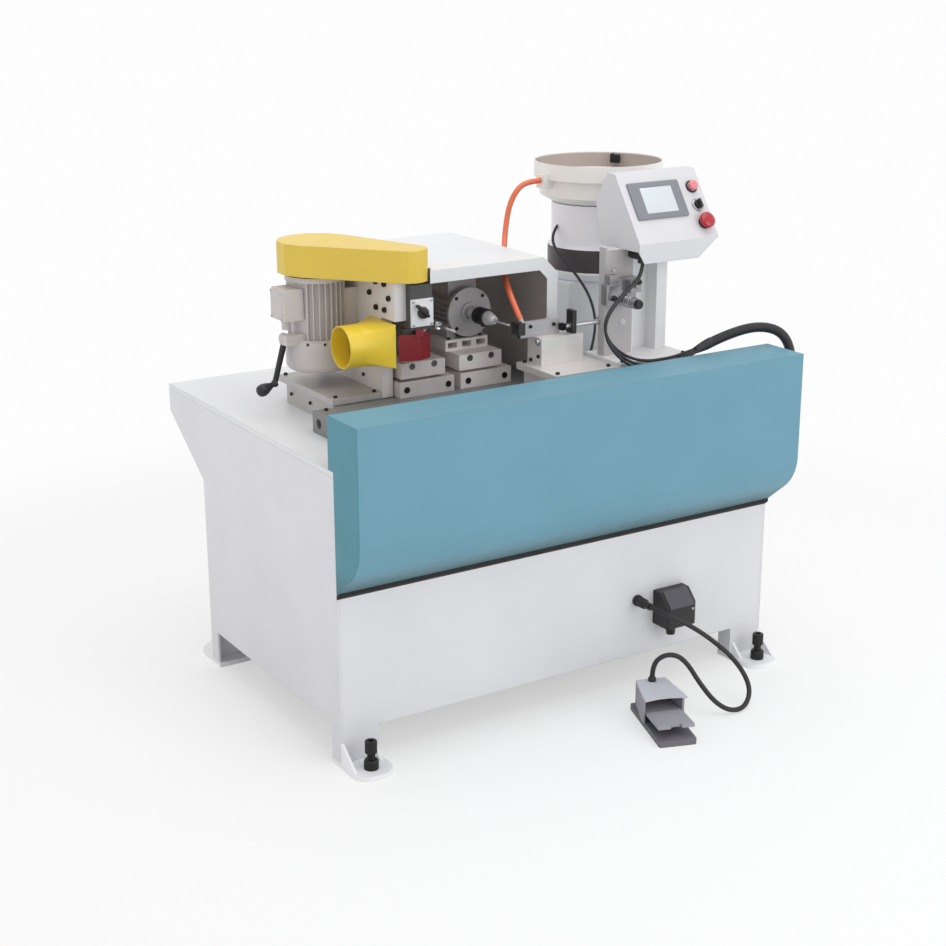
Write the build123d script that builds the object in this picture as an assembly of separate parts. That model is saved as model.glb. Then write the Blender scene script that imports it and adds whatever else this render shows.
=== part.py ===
from build123d import *
import math
import os

# Places are distances from the cabinet's left side (x), its front face (y) and the floor (z), in mm.
# The origin of the finished machine is on the floor under the middle of everything that stands there.
origin_from_left = 647.0
origin_from_front = 285.0

# Clearances
slide_fit = 0.1
turn_fit = 0.06
air_gap = 0.5

# Cabinet
cab_width = 1230.0
cab_depth = 706.0
table_depth = 900.0
table_height = 700.0
panel_t = 6.0
table_t = 12.0
leg_width = 97.0
side_leg = 40.0
front_arch = 86.0
side_arch = 94.0
lip_depth = 70.0
slope_drop = 207.0
floor_lift = 6.0

# Feet and levelling bolts
flange_t = 12.0
foot_back = 46.0
foot_front = 92.0
foot_round = 40.0
rib_t = 8.0
outer_rib_height = 51.0
outer_rib_reach = 64.0
inner_rib_height = 34.0
inner_rib_reach = 35.0
inner_rib_inset = 7.0
bolt_reach = 52.0
bolt_r = 9.0
nut_r = 17.0
nut_h = 24.0
bolt_neck = 14.0
head_r = 14.0
head_h = 30.0
socket_r = 7.0

# Splash cover and its seal
cover_front = 109.0
cover_over = 22.0
cover_rise = 121.0
cover_drop = 283.0
cover_slope = 91.0
cover_bend = 115.0
cover_t = 3.0
cover_return = 20.0
seal_t = 10.0
seal_h = 9.0

# Bed
bed_h = 50.0
bed_left = 107.0
bed_right = 1010.0
bed_front = 60.0
bed_mid = 302.0
bed_back = 655.0
wing_left = 332.0
wing_right = 745.0
bed_hole_r = 12.0
bed_hole_y = 272.0
bed_hole_deep = 60.0

# Trimming unit: base, column and motor
riser_left = 172.0
riser_right = 330.0
riser_front = 320.0
riser_back = 568.0
base_left = 165.0
base_front = 312.0
base_back = 600.0
base_t = 15.0
column_x = 296.0
column_t = 30.0
column_h = 286.0
column_back = 570.0
column_nose = 246.0
column_step = 195.0
motor_x = 216.0
motor_y = 478.0
motor_core_r = 62.0
motor_fin_r = 75.0
motor_low = 120.0
motor_top_gap = 6.0
fan_r = 78.0
fan_h = 68.0
fan_t = 2.0
shaft_r = 12.0
shaft_seat = 32.0
shaft_hold = 28.0
fin_t = 2.4
fin_root = 2.0
trim_fins = 32
trim_shield = 12.0
small_shield = 10.0
motor_step = 8.0
pad_half = 11.0
lug_half = 12.0
lug_len = 22.0
lug_hole = 18.0
term_out = 108.0
term_front = 38.0
term_back = 27.0
term_h = 75.0
term_lift = 60.0
term_over = 8.0
term_round = 6.0
term_gland_out = 86.0
term_gland_r = 10.0
term_gland_h = 24.0

# Trimming unit: spindle, belt drive and guard
spindle_x = 340.0
spindle_y = 257.0
house_right = 44.0
house_half = 31.0
house_h = 105.0
switch_up = 40.0
nose_r = 20.0
nose_h = 25.0
spindle_r = 10.0
cutter_r = 26.0
cutter_h = 38.0
cutter_edges = 4
edge_t = 6.0
shaft_over = 4.0
pulley_a_r = 64.0
pulley_b_r = 28.0
pulley_h = 26.0
groove_deep = 10.0
groove_h = 13.0
belt_t = 8.0
belt_w = 12.0
guard_a_r = 92.0
guard_b_r = 45.0
guard_h = 70.0
guard_t = 2.0
guard_base_t = 4.0
guard_facets = 7

# Dust duct, cutter guard, switch and clamp lever
duct_y = 303.5
duct_low = 138.0
duct_r = 50.0
duct_t = 2.5
duct_wide = 123.0
duct_tall = 103.0
duct_neck = 40.0
duct_taper = 71.0
shield_t = 2.0
shield_low = 103.0
shield_h = 62.0
shield_bow = 4.0
shield_back = 10.0
shield_peak = 8.0
tab_half = 10.0
plate_h = 64.0
plate_t = 5.0
knob_r = 13.0
knob_h = 14.0
lever_x = 127.0
lever_lift = 134.0
lever_hub_r = 12.0
lever_pin_r = 5.0
lever_len = 131.0
lever_lean = 26.5
lever_ball_r = 15.0
lever_hub_len = 24.0
lever_pin_len = 16.0
lever_root_r = 7.5
lever_end_r = 6.5
lever_set = 15.5

# Slides with the tapping and drilling units
slide_front = 285.0
slide_len = 215.0
slide_base_h = 38.0
slide_gap = 7.0
slide_table_h = 38.0
slide_table_w = 120.0
dovetail_low = 28.0
dovetail_top = 34.0
dovetail_h = 14.0
slide_end_t = 4.0
rail_start = 22.0
tap_x = 402.0
tap_base_left = 329.0
tap_base_right = 479.0
tap_table_left = 333.0
tap_lift = 94.0
tap_motor_r = 45.0
tap_motor_front = 335.0
tap_motor_len = 165.0
tap_nose_r = 12.0
tap_r = 4.0
tap_tip = 156.0
tap_stick = 72.0
tap_nose_len = 24.0
tap_hold = 22.0
tap_collar = 22.0
tap_point = 6.0
tap_fluted = 36.0
tap_fins = 24
saddle_half = 30.0
saddle_in = 12.0
drill_x = 553.0
drill_base_left = 497.0
drill_base_right = 641.0
drill_table_left = 493.0
block_left = 485.0
block_right = 605.0
block_front = 335.0
block_len = 180.0
block_h = 27.0
drill_shaft_h = 63.0
drill_core_r = 50.0
drill_fin_r = 60.0
drill_front = 334.0
drill_len = 186.0
chuck_r = 21.0
chuck_front = 252.0
chuck_back = 295.0
chuck_nose_y = 222.0
bit_r = 2.8
bit_tip = 158.0
quill_r = 9.0
drill_fins = 28
drill_foot_x = 38.0
drill_foot_half = 12.0
drill_foot_in = 24.0
drill_box_half = 40.0
drill_box_up = 33.0
drill_box_in = 26.0
drill_box_len = 74.0
drill_box_round = 5.0
drill_boss_r = 25.0
drill_boss_t = 5.0
quill_sleeve_r = 15.3
bit_hold = 28.0
bit_point = 4.0

# Hood over the two units
hood_left = 375.0
hood_back_left = 300.0
hood_notch = 17.0
hood_notch_front = 245.0
hood_notch_back = 290.0
hood_cut_back = 610.0
hood_right = 731.0
hood_front = 220.0
hood_back = 645.0
hood_h = 310.0
hood_t = 3.0
hood_chamfer = 40.0
hood_lip = 30.0
hose_hole_r = 13.0
hose_hole_len = 40.0

# Work fixture, feed jaw and pusher
fix_inset = 15.0
fix_right = 985.0
fix_front = 45.0
fix_back = 185.0
fix_h = 56.0
fix_plate_t = 16.0
fix_edge = 27.0
fix_plate_right = 770.0
fix_plate_front = 30.0
fix_plate_back = 195.0
block_a = 634.0
block_b = 744.0
block_y0 = 130.0
block_y1 = 188.0
block_tall = 65.0
end_plate_t = 10.0
jaw_off = 14.0
jaw_w = 18.0
jaw_len = 32.0
jaw_front = 140.0
jaw_below = 24.0
jaw_above = 5.0
jaw_slot = 10.0
jaw_slot_floor = 13.0
arm_t = 12.0
arm_h = 37.0
arm_right = 696.0
nipple_len = 12.0
nipple_right = 9.0
nipple_deep = 4.0
hose_lead_len = 62.0
push_y = 148.0
push_lift = 18.0
push_left = 690.0
push_len = 12.0
push_half_y = 8.0
push_half_z = 8.0
bracket_left = 717.0
bracket_len = 10.0
bracket_h = 56.0
bracket_front = 14.0
bracket_back = 14.0
rod_r = 6.0
rod_end = 870.0
cyl_r = 14.0
cyl_len = 70.0
rod_stop = 2.0

# Post, control box and its panel
post_plate_left = 795.0
post_plate_right = 1000.0
post_plate_front = 47.0
post_left = 802.0
post_right = 988.0
post_front = 125.0
post_back = 185.0
post_left_back = 150.0
post_step_a = 888.0
post_step_b = 957.0
post_step = 40.0
post_t = 4.0
post_h = 256.0
post_wing = 8.0
box_left = 852.0
box_w = 238.0
box_t = 2.5
box_front = 60.0
box_lip = 28.0
box_lip_t = 3.0
box_foot = 19.0
box_panel_run = 103.0
box_panel_rise = 153.0
box_top = 28.0
box_back_run = 46.0
box_back_drop = 68.0
box_waist_run = 22.0
box_chamfer = 61.0
box_left_chamfer = 16.0
box_gland_in = 12.0
box_gland_drop = 13.0
box_gland_out = 18.0
box_gland_r = 10.0
box_nut_r = 12.0
box_nut_low = 15.0
box_nut_up = 11.0
hmi_w = 152.0
hmi_h = 96.0
hmi_u = 96.0
hmi_v = 108.0
hmi_face = 5.0
hmi_deep = 22.0
hmi_edge = 7.0
button_u = 209.0
start_v = 134.0
mode_v = 85.0
stop_v = 38.0
button_r = 12.0
button_rim_r = 15.0
button_stem_r = 8.0
button_out = 9.0
button_rim = 3.0
stop_r = 20.0
stop_out = 24.0
button_travel = 5.0
button_hold = 14.0
selector_w = 7.0
selector_len = 22.0
selector_h = 8.0

# Air unit on the post
manifold_low = 126.0
manifold_h = 64.0
manifold_t = 12.0
filter_x = 800.0
filter_w = 44.0
filter_h = 48.0
filter_t = 30.0
reg_x = 846.0
reg_z = 136.0
reg_r = 13.0
reg_len = 58.0
reg_knob_r = 11.0
reg_knob_len = 10.0
reg_hole = 12.0
reg_hold = 10.0
filter_round = 6.0
filter_cap_left = 12.0
filter_cap_right = 14.0
filter_cap_in = 4.0
filter_cap_h = 22.0
drain_r = 7.0
drain_len = 8.0
drain_left = 10.0
drain_below = 6.0
valve_left = 8.0
valve_up = 6.0
valve_deep = 20.0
valve_h = 30.0
valve_port_r = 5.0
valve_port_len = 6.0
valve_port_right = 24.0
manifold_edge = 2.0

# Vibratory feeder
bowl_from_right = 216.0
bowl_y = 450.0
ped_w = 282.0
ped_d = 160.0
ped_h = 252.0
ped_flange_t = 22.0
ped_flange_r = 133.0
ped_flange_round = 5.0
band_r = 127.0
band_h = 58.0
drum_r = 118.0
drum_h = 109.0
bowl_gap = 2.0
bowl_low_r = 117.0
bowl_mid_r = 149.0
bowl_rim_r = 164.0
cone_h = 18.0
mid_h = 44.0
rim_h = 40.0
bowl_t = 3.0
hub_r = 30.0
hub_h = 46.0
track_w = 18.0
hub_pin_len = 60.0
drum_hole = 89.0
ped_wall = 4.0
spout_len = 14.0
spout_front = 14.0
spout_back = 18.0
spout_low = 20.0
spout_up = 14.0

# Junction box and cord gland on the cabinet's front
jbox_left = 877.0
jbox_w = 90.0
jbox_low = 160.0
jbox_tall = 87.0
jbox_deep = 60.0
jbox_slope = 34.0
jbox_slope_low = 52.0
jbox_round = 8.0
gland_x = 826.0
gland_z = 231.0
gland_r = 12.0
gland_len = 34.0
gland_nose = 20.0
gland_flange_t = 8.0
gland_flange_r = 14.0
gland_nose_r = 9.0
lid_t = 3.0
lid_edge = 8.0
jbox_gland_x = 34.0
jbox_gland_r = 11.0
jbox_gland_h = 26.0
elbow_deep = 64.0
elbow_front = 2.0
elbow_w = 32.0
elbow_low = 600.0
elbow_h = 40.0
elbow_neck = 20.0
elbow_neck_r = 15.0
elbow_axis = 48.0

# Foot pedal
pedal_x = 746.0
pedal_y = -215.0
pedal_turn = -19.0
pedal_len = 218.0
pedal_w = 92.0
pedal_base_t = 14.0
pedal_corner = 6.0
hood_rear_y = 96.0
pedal_hood_len = 100.0
pedal_hood_h = 66.0
pedal_rear_w = 74.0
pedal_mouth_w = 102.0
pedal_wall = 5.0
roof_w = 104.0
roof_over = 16.0
roof_dip = 9.0
treadle_w = 64.0
treadle_t = 8.0
treadle_pivot_y = 70.0
treadle_pivot_z = 34.0
treadle_pin_r = 4.0
treadle_tip_y = -94.0
treadle_tip_z = 46.0
treadle_tip_w = 88.0
treadle_round = 5.0
treadle_heel = 10.0
treadle_notch_half = 14.0
treadle_notch = 9.0
pin_skin = 2.0
pedal_gland_y = 84.0
pedal_gland_r = 9.0
pedal_gland_len = 7.0

# Cords
pedal_cord_r = 6.0
cable_r = 3.5
cable_pitch = 7.2
conduit_r = 12.0
hose_r = 7.0
bundle_right = 40.0
bundle_front = 13.0
feeder_in = 4.0
feeder_back = 12.0
feeder_foot_right = 14.0
feeder_foot_back = 11.0
hose_end_back = 2.0
hose_end_drop = 1.0

# Where the hose passes the hood's sloping corner, from its right, front and top
hose_from_right = 26.0
hose_from_front = 196.0
hose_from_top = 13.0

# Screws
screw_r = 5.0
screw_h = 5.0
screw_hex = 2.5
screw_edge = 14.0

# Heights that follow from the ones above
bed_top = table_height + bed_h
column_top = bed_top + column_h
base_top = bed_top + base_t
slide_top = bed_top + slide_base_h + slide_gap + slide_table_h
tap_z = slide_top + tap_lift
drill_z = slide_top + block_h + drill_shaft_h
fix_top = bed_top + fix_h + fix_plate_t
block_top = fix_top + block_tall
fix_plate_left = block_a - end_plate_t - fix_edge
fix_left = fix_plate_left + fix_inset
post_top = fix_top + post_h
guard_floor = column_top + guard_base_t
drive_z = guard_floor + guard_h / 2
motor_top = column_top - motor_top_gap
motor_bottom = bed_top + motor_low
lever_z = bed_top + lever_lift
lever_hub_front = motor_y - lever_set
push_z = block_top + push_lift
bowl_x = cab_width - bowl_from_right
bowl_floor = table_height + ped_h + ped_flange_t + band_h + drum_h + bowl_gap


def block(x0, x1, y0, y1, z0, z1):
    return Pos((x0 + x1) / 2, (y0 + y1) / 2, (z0 + z1) / 2) * Box(x1 - x0, y1 - y0, z1 - z0)


def rod_x(x0, x1, y, z, r):
    return Pos((x0 + x1) / 2, y, z) * Rot(0, 90, 0) * Cylinder(r, x1 - x0)


def rod_y(y0, y1, x, z, r):
    return Pos(x, (y0 + y1) / 2, z) * Rot(90, 0, 0) * Cylinder(r, y1 - y0)


def rod_z(z0, z1, x, y, r):
    return Pos(x, y, (z0 + z1) / 2) * Cylinder(r, z1 - z0)


def prism_x(points, x0, x1):
    face = make_face(Polyline(*[(x0, y, z) for y, z in points], close=True))
    return extrude(face, amount=x1 - x0, dir=(1, 0, 0))


def prism_y(points, y0, y1):
    face = make_face(Polyline(*[(x, y0, z) for x, z in points], close=True))
    return extrude(face, amount=y1 - y0, dir=(0, 1, 0))


def prism_z(points, z0, z1):
    face = make_face(Polyline(*[(x, y, z0) for x, y in points], close=True))
    return extrude(face, amount=z1 - z0, dir=(0, 0, 1))


def strip(points, t):
    # outline of a bent sheet: the line of points and its copy moved by t to the left of the way they run
    normals = []
    for a, b in zip(points[:-1], points[1:]):
        run = math.hypot(b[0] - a[0], b[1] - a[1])
        normals.append((-(b[1] - a[1]) / run, (b[0] - a[0]) / run))
    moved = []
    for i, p in enumerate(points):
        n1 = normals[max(i - 1, 0)]
        n2 = normals[min(i, len(normals) - 1)]
        k = t / (1 + n1[0] * n2[0] + n1[1] * n2[1])
        moved.append((p[0] + k * (n1[0] + n2[0]), p[1] + k * (n1[1] + n2[1])))
    return list(points) + moved[::-1]


def tube(points, radius, name):
    # a round cord on straight runs joined by tangent arcs, each arc as wide as its shorter run allows
    spots = [Vector(*p) for p in points]
    radii = []
    for a, b, c in zip(spots[:-2], spots[1:-1], spots[2:]):
        turn = (b - a).get_angle(c - b)
        radii.append(0.45 * min((b - a).length, (c - b).length) / math.tan(math.radians(turn) / 2))
    line = FilletPolyline(*spots, radius=radii)
    start = Plane(origin=line @ 0, z_dir=line % 0)
    solid = sweep(start * Circle(radius), path=line)
    print(name, "length", round(line.length), "radii", [round(r) for r in radii])
    plain = math.pi * radius ** 2 * line.length
    print(name, "volume over section and length", round(solid.volume / plain, 4))
    return solid


def route(start, end, steps):
    # a cord's corner points as steps from its start, eased along the way so that the last run meets the end
    fix = [end[k] - start[k] - steps[-1][k] for k in range(3)]
    points = [start]
    for i, step in enumerate(steps):
        part = min(1, (i + 1) / (len(steps) - 1))
        points.append(tuple(start[k] + step[k] + part * fix[k] for k in range(3)))
    return points


def motor_frame(core_r, fin_r, length, shield, count, gaps):
    # a finned motor housing standing on its fan end, with fins left out inside the given angle gaps
    body = rod_z(0, length, 0, 0, core_r)
    body += rod_z(0, shield, 0, 0, fin_r)
    body += rod_z(length - shield, length, 0, 0, fin_r)
    fin_deep = fin_r - core_r + fin_root
    for i in range(count):
        angle = 360.0 * i / count
        if any(abs((angle - g + 180) % 360 - 180) < half for g, half in gaps):
            continue
        fin_len = length - 2 * shield + fin_root
        fin = Pos(core_r - fin_root + fin_deep / 2, 0, length / 2) * Box(fin_deep, fin_t, fin_len)
        body += Rot(0, 0, angle) * fin
    return body


def fan_cup(radius, height, t):
    # a fan cowl with a rounded closed end below and slots through it
    cup = rod_z(0, height, 0, 0, radius)
    cup = fillet(cup.edges().group_by(Axis.Z)[0], radius * 0.22)
    inner = rod_z(t, height + 1, 0, 0, radius - t)
    inner = fillet(inner.edges().group_by(Axis.Z)[0], radius * 0.22 - t)
    cup -= inner
    for i in range(-3, 4):
        half = math.sqrt((radius * 0.62) ** 2 - (i * radius * 0.16) ** 2)
        cup -= Pos(i * radius * 0.16, 0, t / 2) * Box(radius * 0.06, 2 * half, t * 3)
    return cup


def slide_base(left, right, mid):
    body = block(left, right, slide_front, slide_front + slide_len, bed_top, bed_top + slide_base_h)
    z0 = bed_top + slide_base_h
    z1 = z0 + slide_gap + dovetail_h
    rail = [
        (mid - dovetail_low, z0), (mid + dovetail_low, z0),
        (mid + dovetail_top, z1), (mid - dovetail_top, z1),
    ]
    return body + prism_y(rail, slide_front + rail_start, slide_front + slide_len)


def slide_table(left, mid):
    z0 = bed_top + slide_base_h + slide_gap
    body = block(left, left + slide_table_w, slide_front, slide_front + slide_len, z0, slide_top)
    lean = (dovetail_top - dovetail_low) / (slide_gap + dovetail_h)
    low = dovetail_low + lean * slide_gap + slide_fit
    top = dovetail_top + slide_fit
    z1 = z0 + dovetail_h + slide_fit
    groove = [(mid - low, z0 - 0.01), (mid + low, z0 - 0.01), (mid + top, z1), (mid - top, z1)]
    body -= prism_y(groove, slide_front + slide_end_t, slide_front + slide_len + 1)
    for x in (left + slide_table_w * 0.25, left + slide_table_w * 0.75):
        sink = slide_front + slide_end_t / 2
        body -= rod_y(slide_front - 1, sink, x, slide_top - slide_table_h / 4, screw_r)
    return body


def screw(place):
    # a socket screw head standing on a face, with its hexagon recess
    head = Pos(0, 0, screw_h / 2) * Cylinder(screw_r, screw_h)
    head -= Pos(0, 0, screw_h / 2) * extrude(RegularPolygon(screw_hex, 6), amount=screw_h)
    return place * head


nodes = {}

# Cabinet panels
slope_top = table_height - lip_depth
slope_low = slope_top - slope_drop + lip_depth
side_outline = [
    (0, flange_t), (side_leg, flange_t), (side_leg, side_arch),
    (cab_depth - side_leg, side_arch), (cab_depth - side_leg, flange_t), (cab_depth, flange_t),
    (cab_depth, slope_low), (table_depth, slope_top),
    (table_depth, table_height - table_t), (0, table_height - table_t),
]
nodes["cabinet_left_side"] = prism_x(side_outline, 0, panel_t)
nodes["cabinet_right_side"] = prism_x(side_outline, cab_width - panel_t, cab_width)
arch_cut = block(leg_width, cab_width - leg_width, -1, table_depth, 0, front_arch)
front_panel = block(panel_t, cab_width - panel_t, 0, panel_t, flange_t, table_height - table_t)
leg_inner = (leg_width - panel_t, cab_width - leg_width)
front_legs = [block(x, x + panel_t, panel_t, foot_back, flange_t, front_arch) for x in leg_inner]
nodes["cabinet_front_panel"] = [front_panel - arch_cut] + front_legs
rear_line = [
    (cab_depth, flange_t), (cab_depth, slope_low),
    (table_depth, slope_top), (table_depth, table_height - table_t),
]
rear_panel = prism_x(strip(rear_line, panel_t), panel_t, cab_width - panel_t)
rear_y0 = cab_depth - foot_back
rear_y1 = cab_depth - panel_t
rear_legs = [block(x, x + panel_t, rear_y0, rear_y1, flange_t, front_arch) for x in leg_inner]
nodes["cabinet_rear_panel"] = [rear_panel - arch_cut] + rear_legs
nodes["table_top"] = block(0, cab_width, 0, table_depth, table_height - table_t, table_height)
floor_z = side_arch + floor_lift
floor_plate = block(panel_t, cab_width - panel_t, panel_t, cab_depth - panel_t, floor_z, floor_z + panel_t)
nodes["cabinet_floor"] = floor_plate

# Feet: a round-ended flange with two ribs, the outer one flush with the cabinet's side
foot_mid = leg_width / 2
foot = block(0, leg_width, -foot_front, foot_back, 0, flange_t)
foot = fillet(foot.edges().filter_by(Axis.Z).group_by(Axis.Y)[0], foot_round)
outer_rib = [(0, flange_t), (-outer_rib_reach, flange_t), (0, flange_t + outer_rib_height)]
foot += prism_x(outer_rib, 0, rib_t)
inner_rib = [(0, flange_t), (-inner_rib_reach, flange_t), (0, flange_t + inner_rib_height)]
foot += prism_x(inner_rib, leg_width - inner_rib_inset - rib_t, leg_width - inner_rib_inset)
foot -= rod_z(-1, flange_t + 1, foot_mid, -bolt_reach, bolt_r + turn_fit)

# Levelling bolt with a socket head, and its rounded lock nut
bolt_top = flange_t + nut_h + bolt_neck
bolt = rod_z(flange_t / 6, bolt_top, foot_mid, -bolt_reach, bolt_r)
bolt += rod_z(bolt_top, bolt_top + head_h, foot_mid, -bolt_reach, head_r)
hexagon = extrude(RegularPolygon(socket_r, 6), amount=head_h)
bolt -= Pos(foot_mid, -bolt_reach, bolt_top + head_h / 2) * hexagon
nut = rod_z(flange_t, flange_t + nut_h, foot_mid, -bolt_reach, nut_r)
nut = fillet(nut.edges().group_by(Axis.Z)[-1], nut_r * 0.4)
nut -= rod_z(flange_t - 1, flange_t + nut_h + 1, foot_mid, -bolt_reach, bolt_r + turn_fit)


def four_corners(piece):
    right = mirror(piece, about=Plane(origin=(cab_width / 2, 0, 0), z_dir=(1, 0, 0)))
    rear = Plane(origin=(0, cab_depth / 2, 0), z_dir=(0, 1, 0))
    return [piece, right, mirror(piece, about=rear), mirror(right, about=rear)]


nodes["foot_brackets"] = four_corners(foot)
nodes["levelling_bolts"] = four_corners(bolt) + four_corners(nut)

# Splash cover: one bent sheet with closed ends, standing on the table's front edge
cover_top = table_height + cover_rise
cover_bottom = table_height - cover_drop
outer_pts = [
    (0, cover_bottom), (-cover_front, cover_bottom + cover_slope), (-cover_front, cover_top),
    (cover_over, cover_top), (cover_over, table_height), (0, table_height),
]
outer = prism_x(outer_pts, 0, cab_width)
low_edge = outer.edges().filter_by(Axis.X).group_by(Axis.Y)[0].sort_by(Axis.Z)[0]
outer = fillet(low_edge, cover_bend)
inside = cover_over - cover_t
lean = cover_slope / cover_front
skin = cover_t * math.hypot(1, lean)
lip_z = cover_top - cover_return
inner_pts = [
    (1, cover_bottom + skin - lean),
    (cover_t - cover_front, cover_bottom + skin + lean * (cover_front - cover_t)),
    (cover_t - cover_front, cover_top - cover_t), (inside, cover_top - cover_t), (inside, lip_z),
    (cover_over + 1, lip_z), (cover_over + 1, table_height - 1), (1, table_height - 1),
]
inner = prism_x(inner_pts, cover_t, cab_width - cover_t)
low_edge = inner.edges().filter_by(Axis.X).group_by(Axis.Y)[0].sort_by(Axis.Z)[0]
inner = fillet(low_edge, cover_bend - cover_t)
nodes["splash_cover"] = outer - inner
seal_rise = lean * seal_t
seal_line = [
    (0, cover_bottom - seal_h), (-seal_t, cover_bottom - seal_h + seal_rise),
    (-seal_t, cover_bottom + seal_rise), (0, cover_bottom),
]
nodes["cover_seal"] = prism_x(seal_line, 0, cab_width)

# Bed with its wing under the slides
bed = block(bed_left, bed_right, bed_front, bed_mid, table_height, bed_top)
bed += block(wing_left, wing_right, bed_mid, bed_back, table_height, bed_top)
bed -= rod_x(bed_left - 1, bed_left + bed_hole_deep, bed_hole_y, table_height + bed_h / 2, bed_hole_r)
nodes["bed_rail"] = bed

# Trimming unit: base of two plates, column, motor
riser = block(riser_left, riser_right, riser_front, riser_back, table_height, bed_top)
base_plate = block(base_left, column_x, base_front, base_back, bed_top, base_top)
nodes["trim_base"] = [riser, base_plate]
column_outline = [
    (base_front, bed_top), (column_back, bed_top), (column_back, column_top),
    (column_nose, column_top), (column_nose, bed_top + column_step), (base_front, bed_top + column_step),
]
nodes["column_plate"] = prism_x(column_outline, column_x, column_x + column_t)
motor_len = motor_top - motor_bottom
frame = motor_frame(motor_core_r, motor_fin_r, motor_len, trim_shield, trim_fins, [(0, 50), (180, 40)])
frame += rod_z(0, motor_step, 0, 0, fan_r)
for side in (-1, 1):
    pad_y = side * motor_core_r * 0.72
    pad_z0 = motor_len * 0.2
    pad_z1 = motor_len * 0.8
    frame += block(motor_core_r * 0.4, column_x - motor_x, pad_y - pad_half, pad_y + pad_half, pad_z0, pad_z1)
lug_y1 = lever_hub_front - motor_y
lug_z = lever_z - motor_bottom
lug_x = lever_x - motor_x
lug_x1 = -motor_core_r * 0.8
frame += block(lug_x - lug_half, lug_x1, lug_y1 - lug_len, lug_y1, lug_z - lug_half, lug_z + lug_half)
frame -= rod_y(lug_y1 - lug_hole, lug_y1 + 1, lug_x, lug_z, lever_pin_r + turn_fit)
frame -= rod_z(motor_len - shaft_seat, motor_len + 1, 0, 0, shaft_r + turn_fit)
frame = Pos(motor_x, motor_y, motor_bottom) * frame
cowl = Pos(motor_x, motor_y, motor_bottom - fan_h) * fan_cup(fan_r, fan_h, fan_t)
term_z = motor_bottom + term_lift
term_x = motor_x - motor_core_r + term_over
term = block(motor_x - term_out, term_x, motor_y - term_front, motor_y + term_back, term_z, term_z + term_h)
term -= rod_z(term_z - 1, term_z + term_h + 1, motor_x, motor_y, motor_core_r)
term = fillet(term.edges().group_by(Axis.X)[0], term_round)
term_mid = motor_y + (term_back - term_front) / 2
term_gland = rod_z(term_z - term_gland_h, term_z, motor_x - term_gland_out, term_mid, term_gland_r)
nodes["trim_motor"] = [frame, cowl, term, term_gland]

# Belt drive: pulleys, belt and guard
reach = math.hypot(spindle_x - motor_x, spindle_y - motor_y)
way = ((spindle_x - motor_x) / reach, (spindle_y - motor_y) / reach)


def pulley(r, bore, x, y):
    z0 = drive_z - pulley_h / 2
    body = rod_z(z0, z0 + pulley_h, x, y, r)
    ring = rod_z(drive_z - groove_h / 2, drive_z + groove_h / 2, x, y, r + 1)
    body -= ring - rod_z(z0, z0 + pulley_h, x, y, r - groove_deep)
    return body - rod_z(z0 - 1, z0 + pulley_h + 1, x, y, bore)


def wrap(ra, rb):
    # the loop round both pulleys: two circles and their shared tangents
    lean = math.acos((ra - rb) / reach)
    heading = math.atan2(way[1], way[0])
    spots = []
    for (x, y, r) in ((motor_x, motor_y, ra), (spindle_x, spindle_y, rb)):
        for s in (1, -1):
            spots.append((x + r * math.cos(heading + s * lean), y + r * math.sin(heading + s * lean)))
    back = (motor_x - ra * way[0], motor_y - ra * way[1])
    tip = (spindle_x + rb * way[0], spindle_y + rb * way[1])
    loop = ThreePointArc(spots[1], back, spots[0]) + Line(spots[0], spots[2])
    loop += ThreePointArc(spots[2], tip, spots[3]) + Line(spots[3], spots[1])
    return make_face(loop.edges())


motor_shaft = rod_z(motor_top - shaft_hold, drive_z + pulley_h / 2 + shaft_over, motor_x, motor_y, shaft_r)
nodes["motor_pulley"] = motor_shaft + pulley(pulley_a_r, shaft_r - 1, motor_x, motor_y)
nodes["spindle_pulley"] = pulley(pulley_b_r, spindle_r + turn_fit / 2, spindle_x, spindle_y)
belt_in = wrap(pulley_a_r - groove_deep + 1, pulley_b_r - groove_deep + 1)
belt_out = wrap(pulley_a_r - groove_deep + 1 + belt_t, pulley_b_r - groove_deep + 1 + belt_t)
belt = extrude(belt_out - belt_in, amount=belt_w, dir=(0, 0, 1))
nodes["drive_belt"] = Pos(0, 0, drive_z - belt_w / 2) * belt


def guard_outline(inset):
    # faceted round ends about the motor and the spindle, joined by straight tapering sides
    ra = guard_a_r - inset
    rb = guard_b_r - inset
    lean = math.acos((ra - rb) / reach)
    heading = math.atan2(way[1], way[0])
    pts = []
    for i in range(guard_facets + 1):
        turn = heading + lean + (2 * math.pi - 2 * lean) * i / guard_facets
        pts.append((motor_x + ra * math.cos(turn), motor_y + ra * math.sin(turn)))
    for i in range(guard_facets + 1):
        turn = heading - lean + 2 * lean * i / guard_facets
        pts.append((spindle_x + rb * math.cos(turn), spindle_y + rb * math.sin(turn)))
    return pts


guard = prism_z(guard_outline(0), guard_floor, guard_floor + guard_h)
guard -= prism_z(guard_outline(guard_t), guard_floor - 1, guard_floor + guard_h - guard_t)
guard_base = prism_z(guard_outline(0), column_top, guard_floor)
guard_base -= rod_z(column_top - 1, guard_floor + 1, motor_x, motor_y, shaft_r * 2)
guard_base -= rod_z(column_top - 1, guard_floor + 1, spindle_x, spindle_y, spindle_r * 1.6)
nodes["belt_guard"] = [guard, guard_base]

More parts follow.
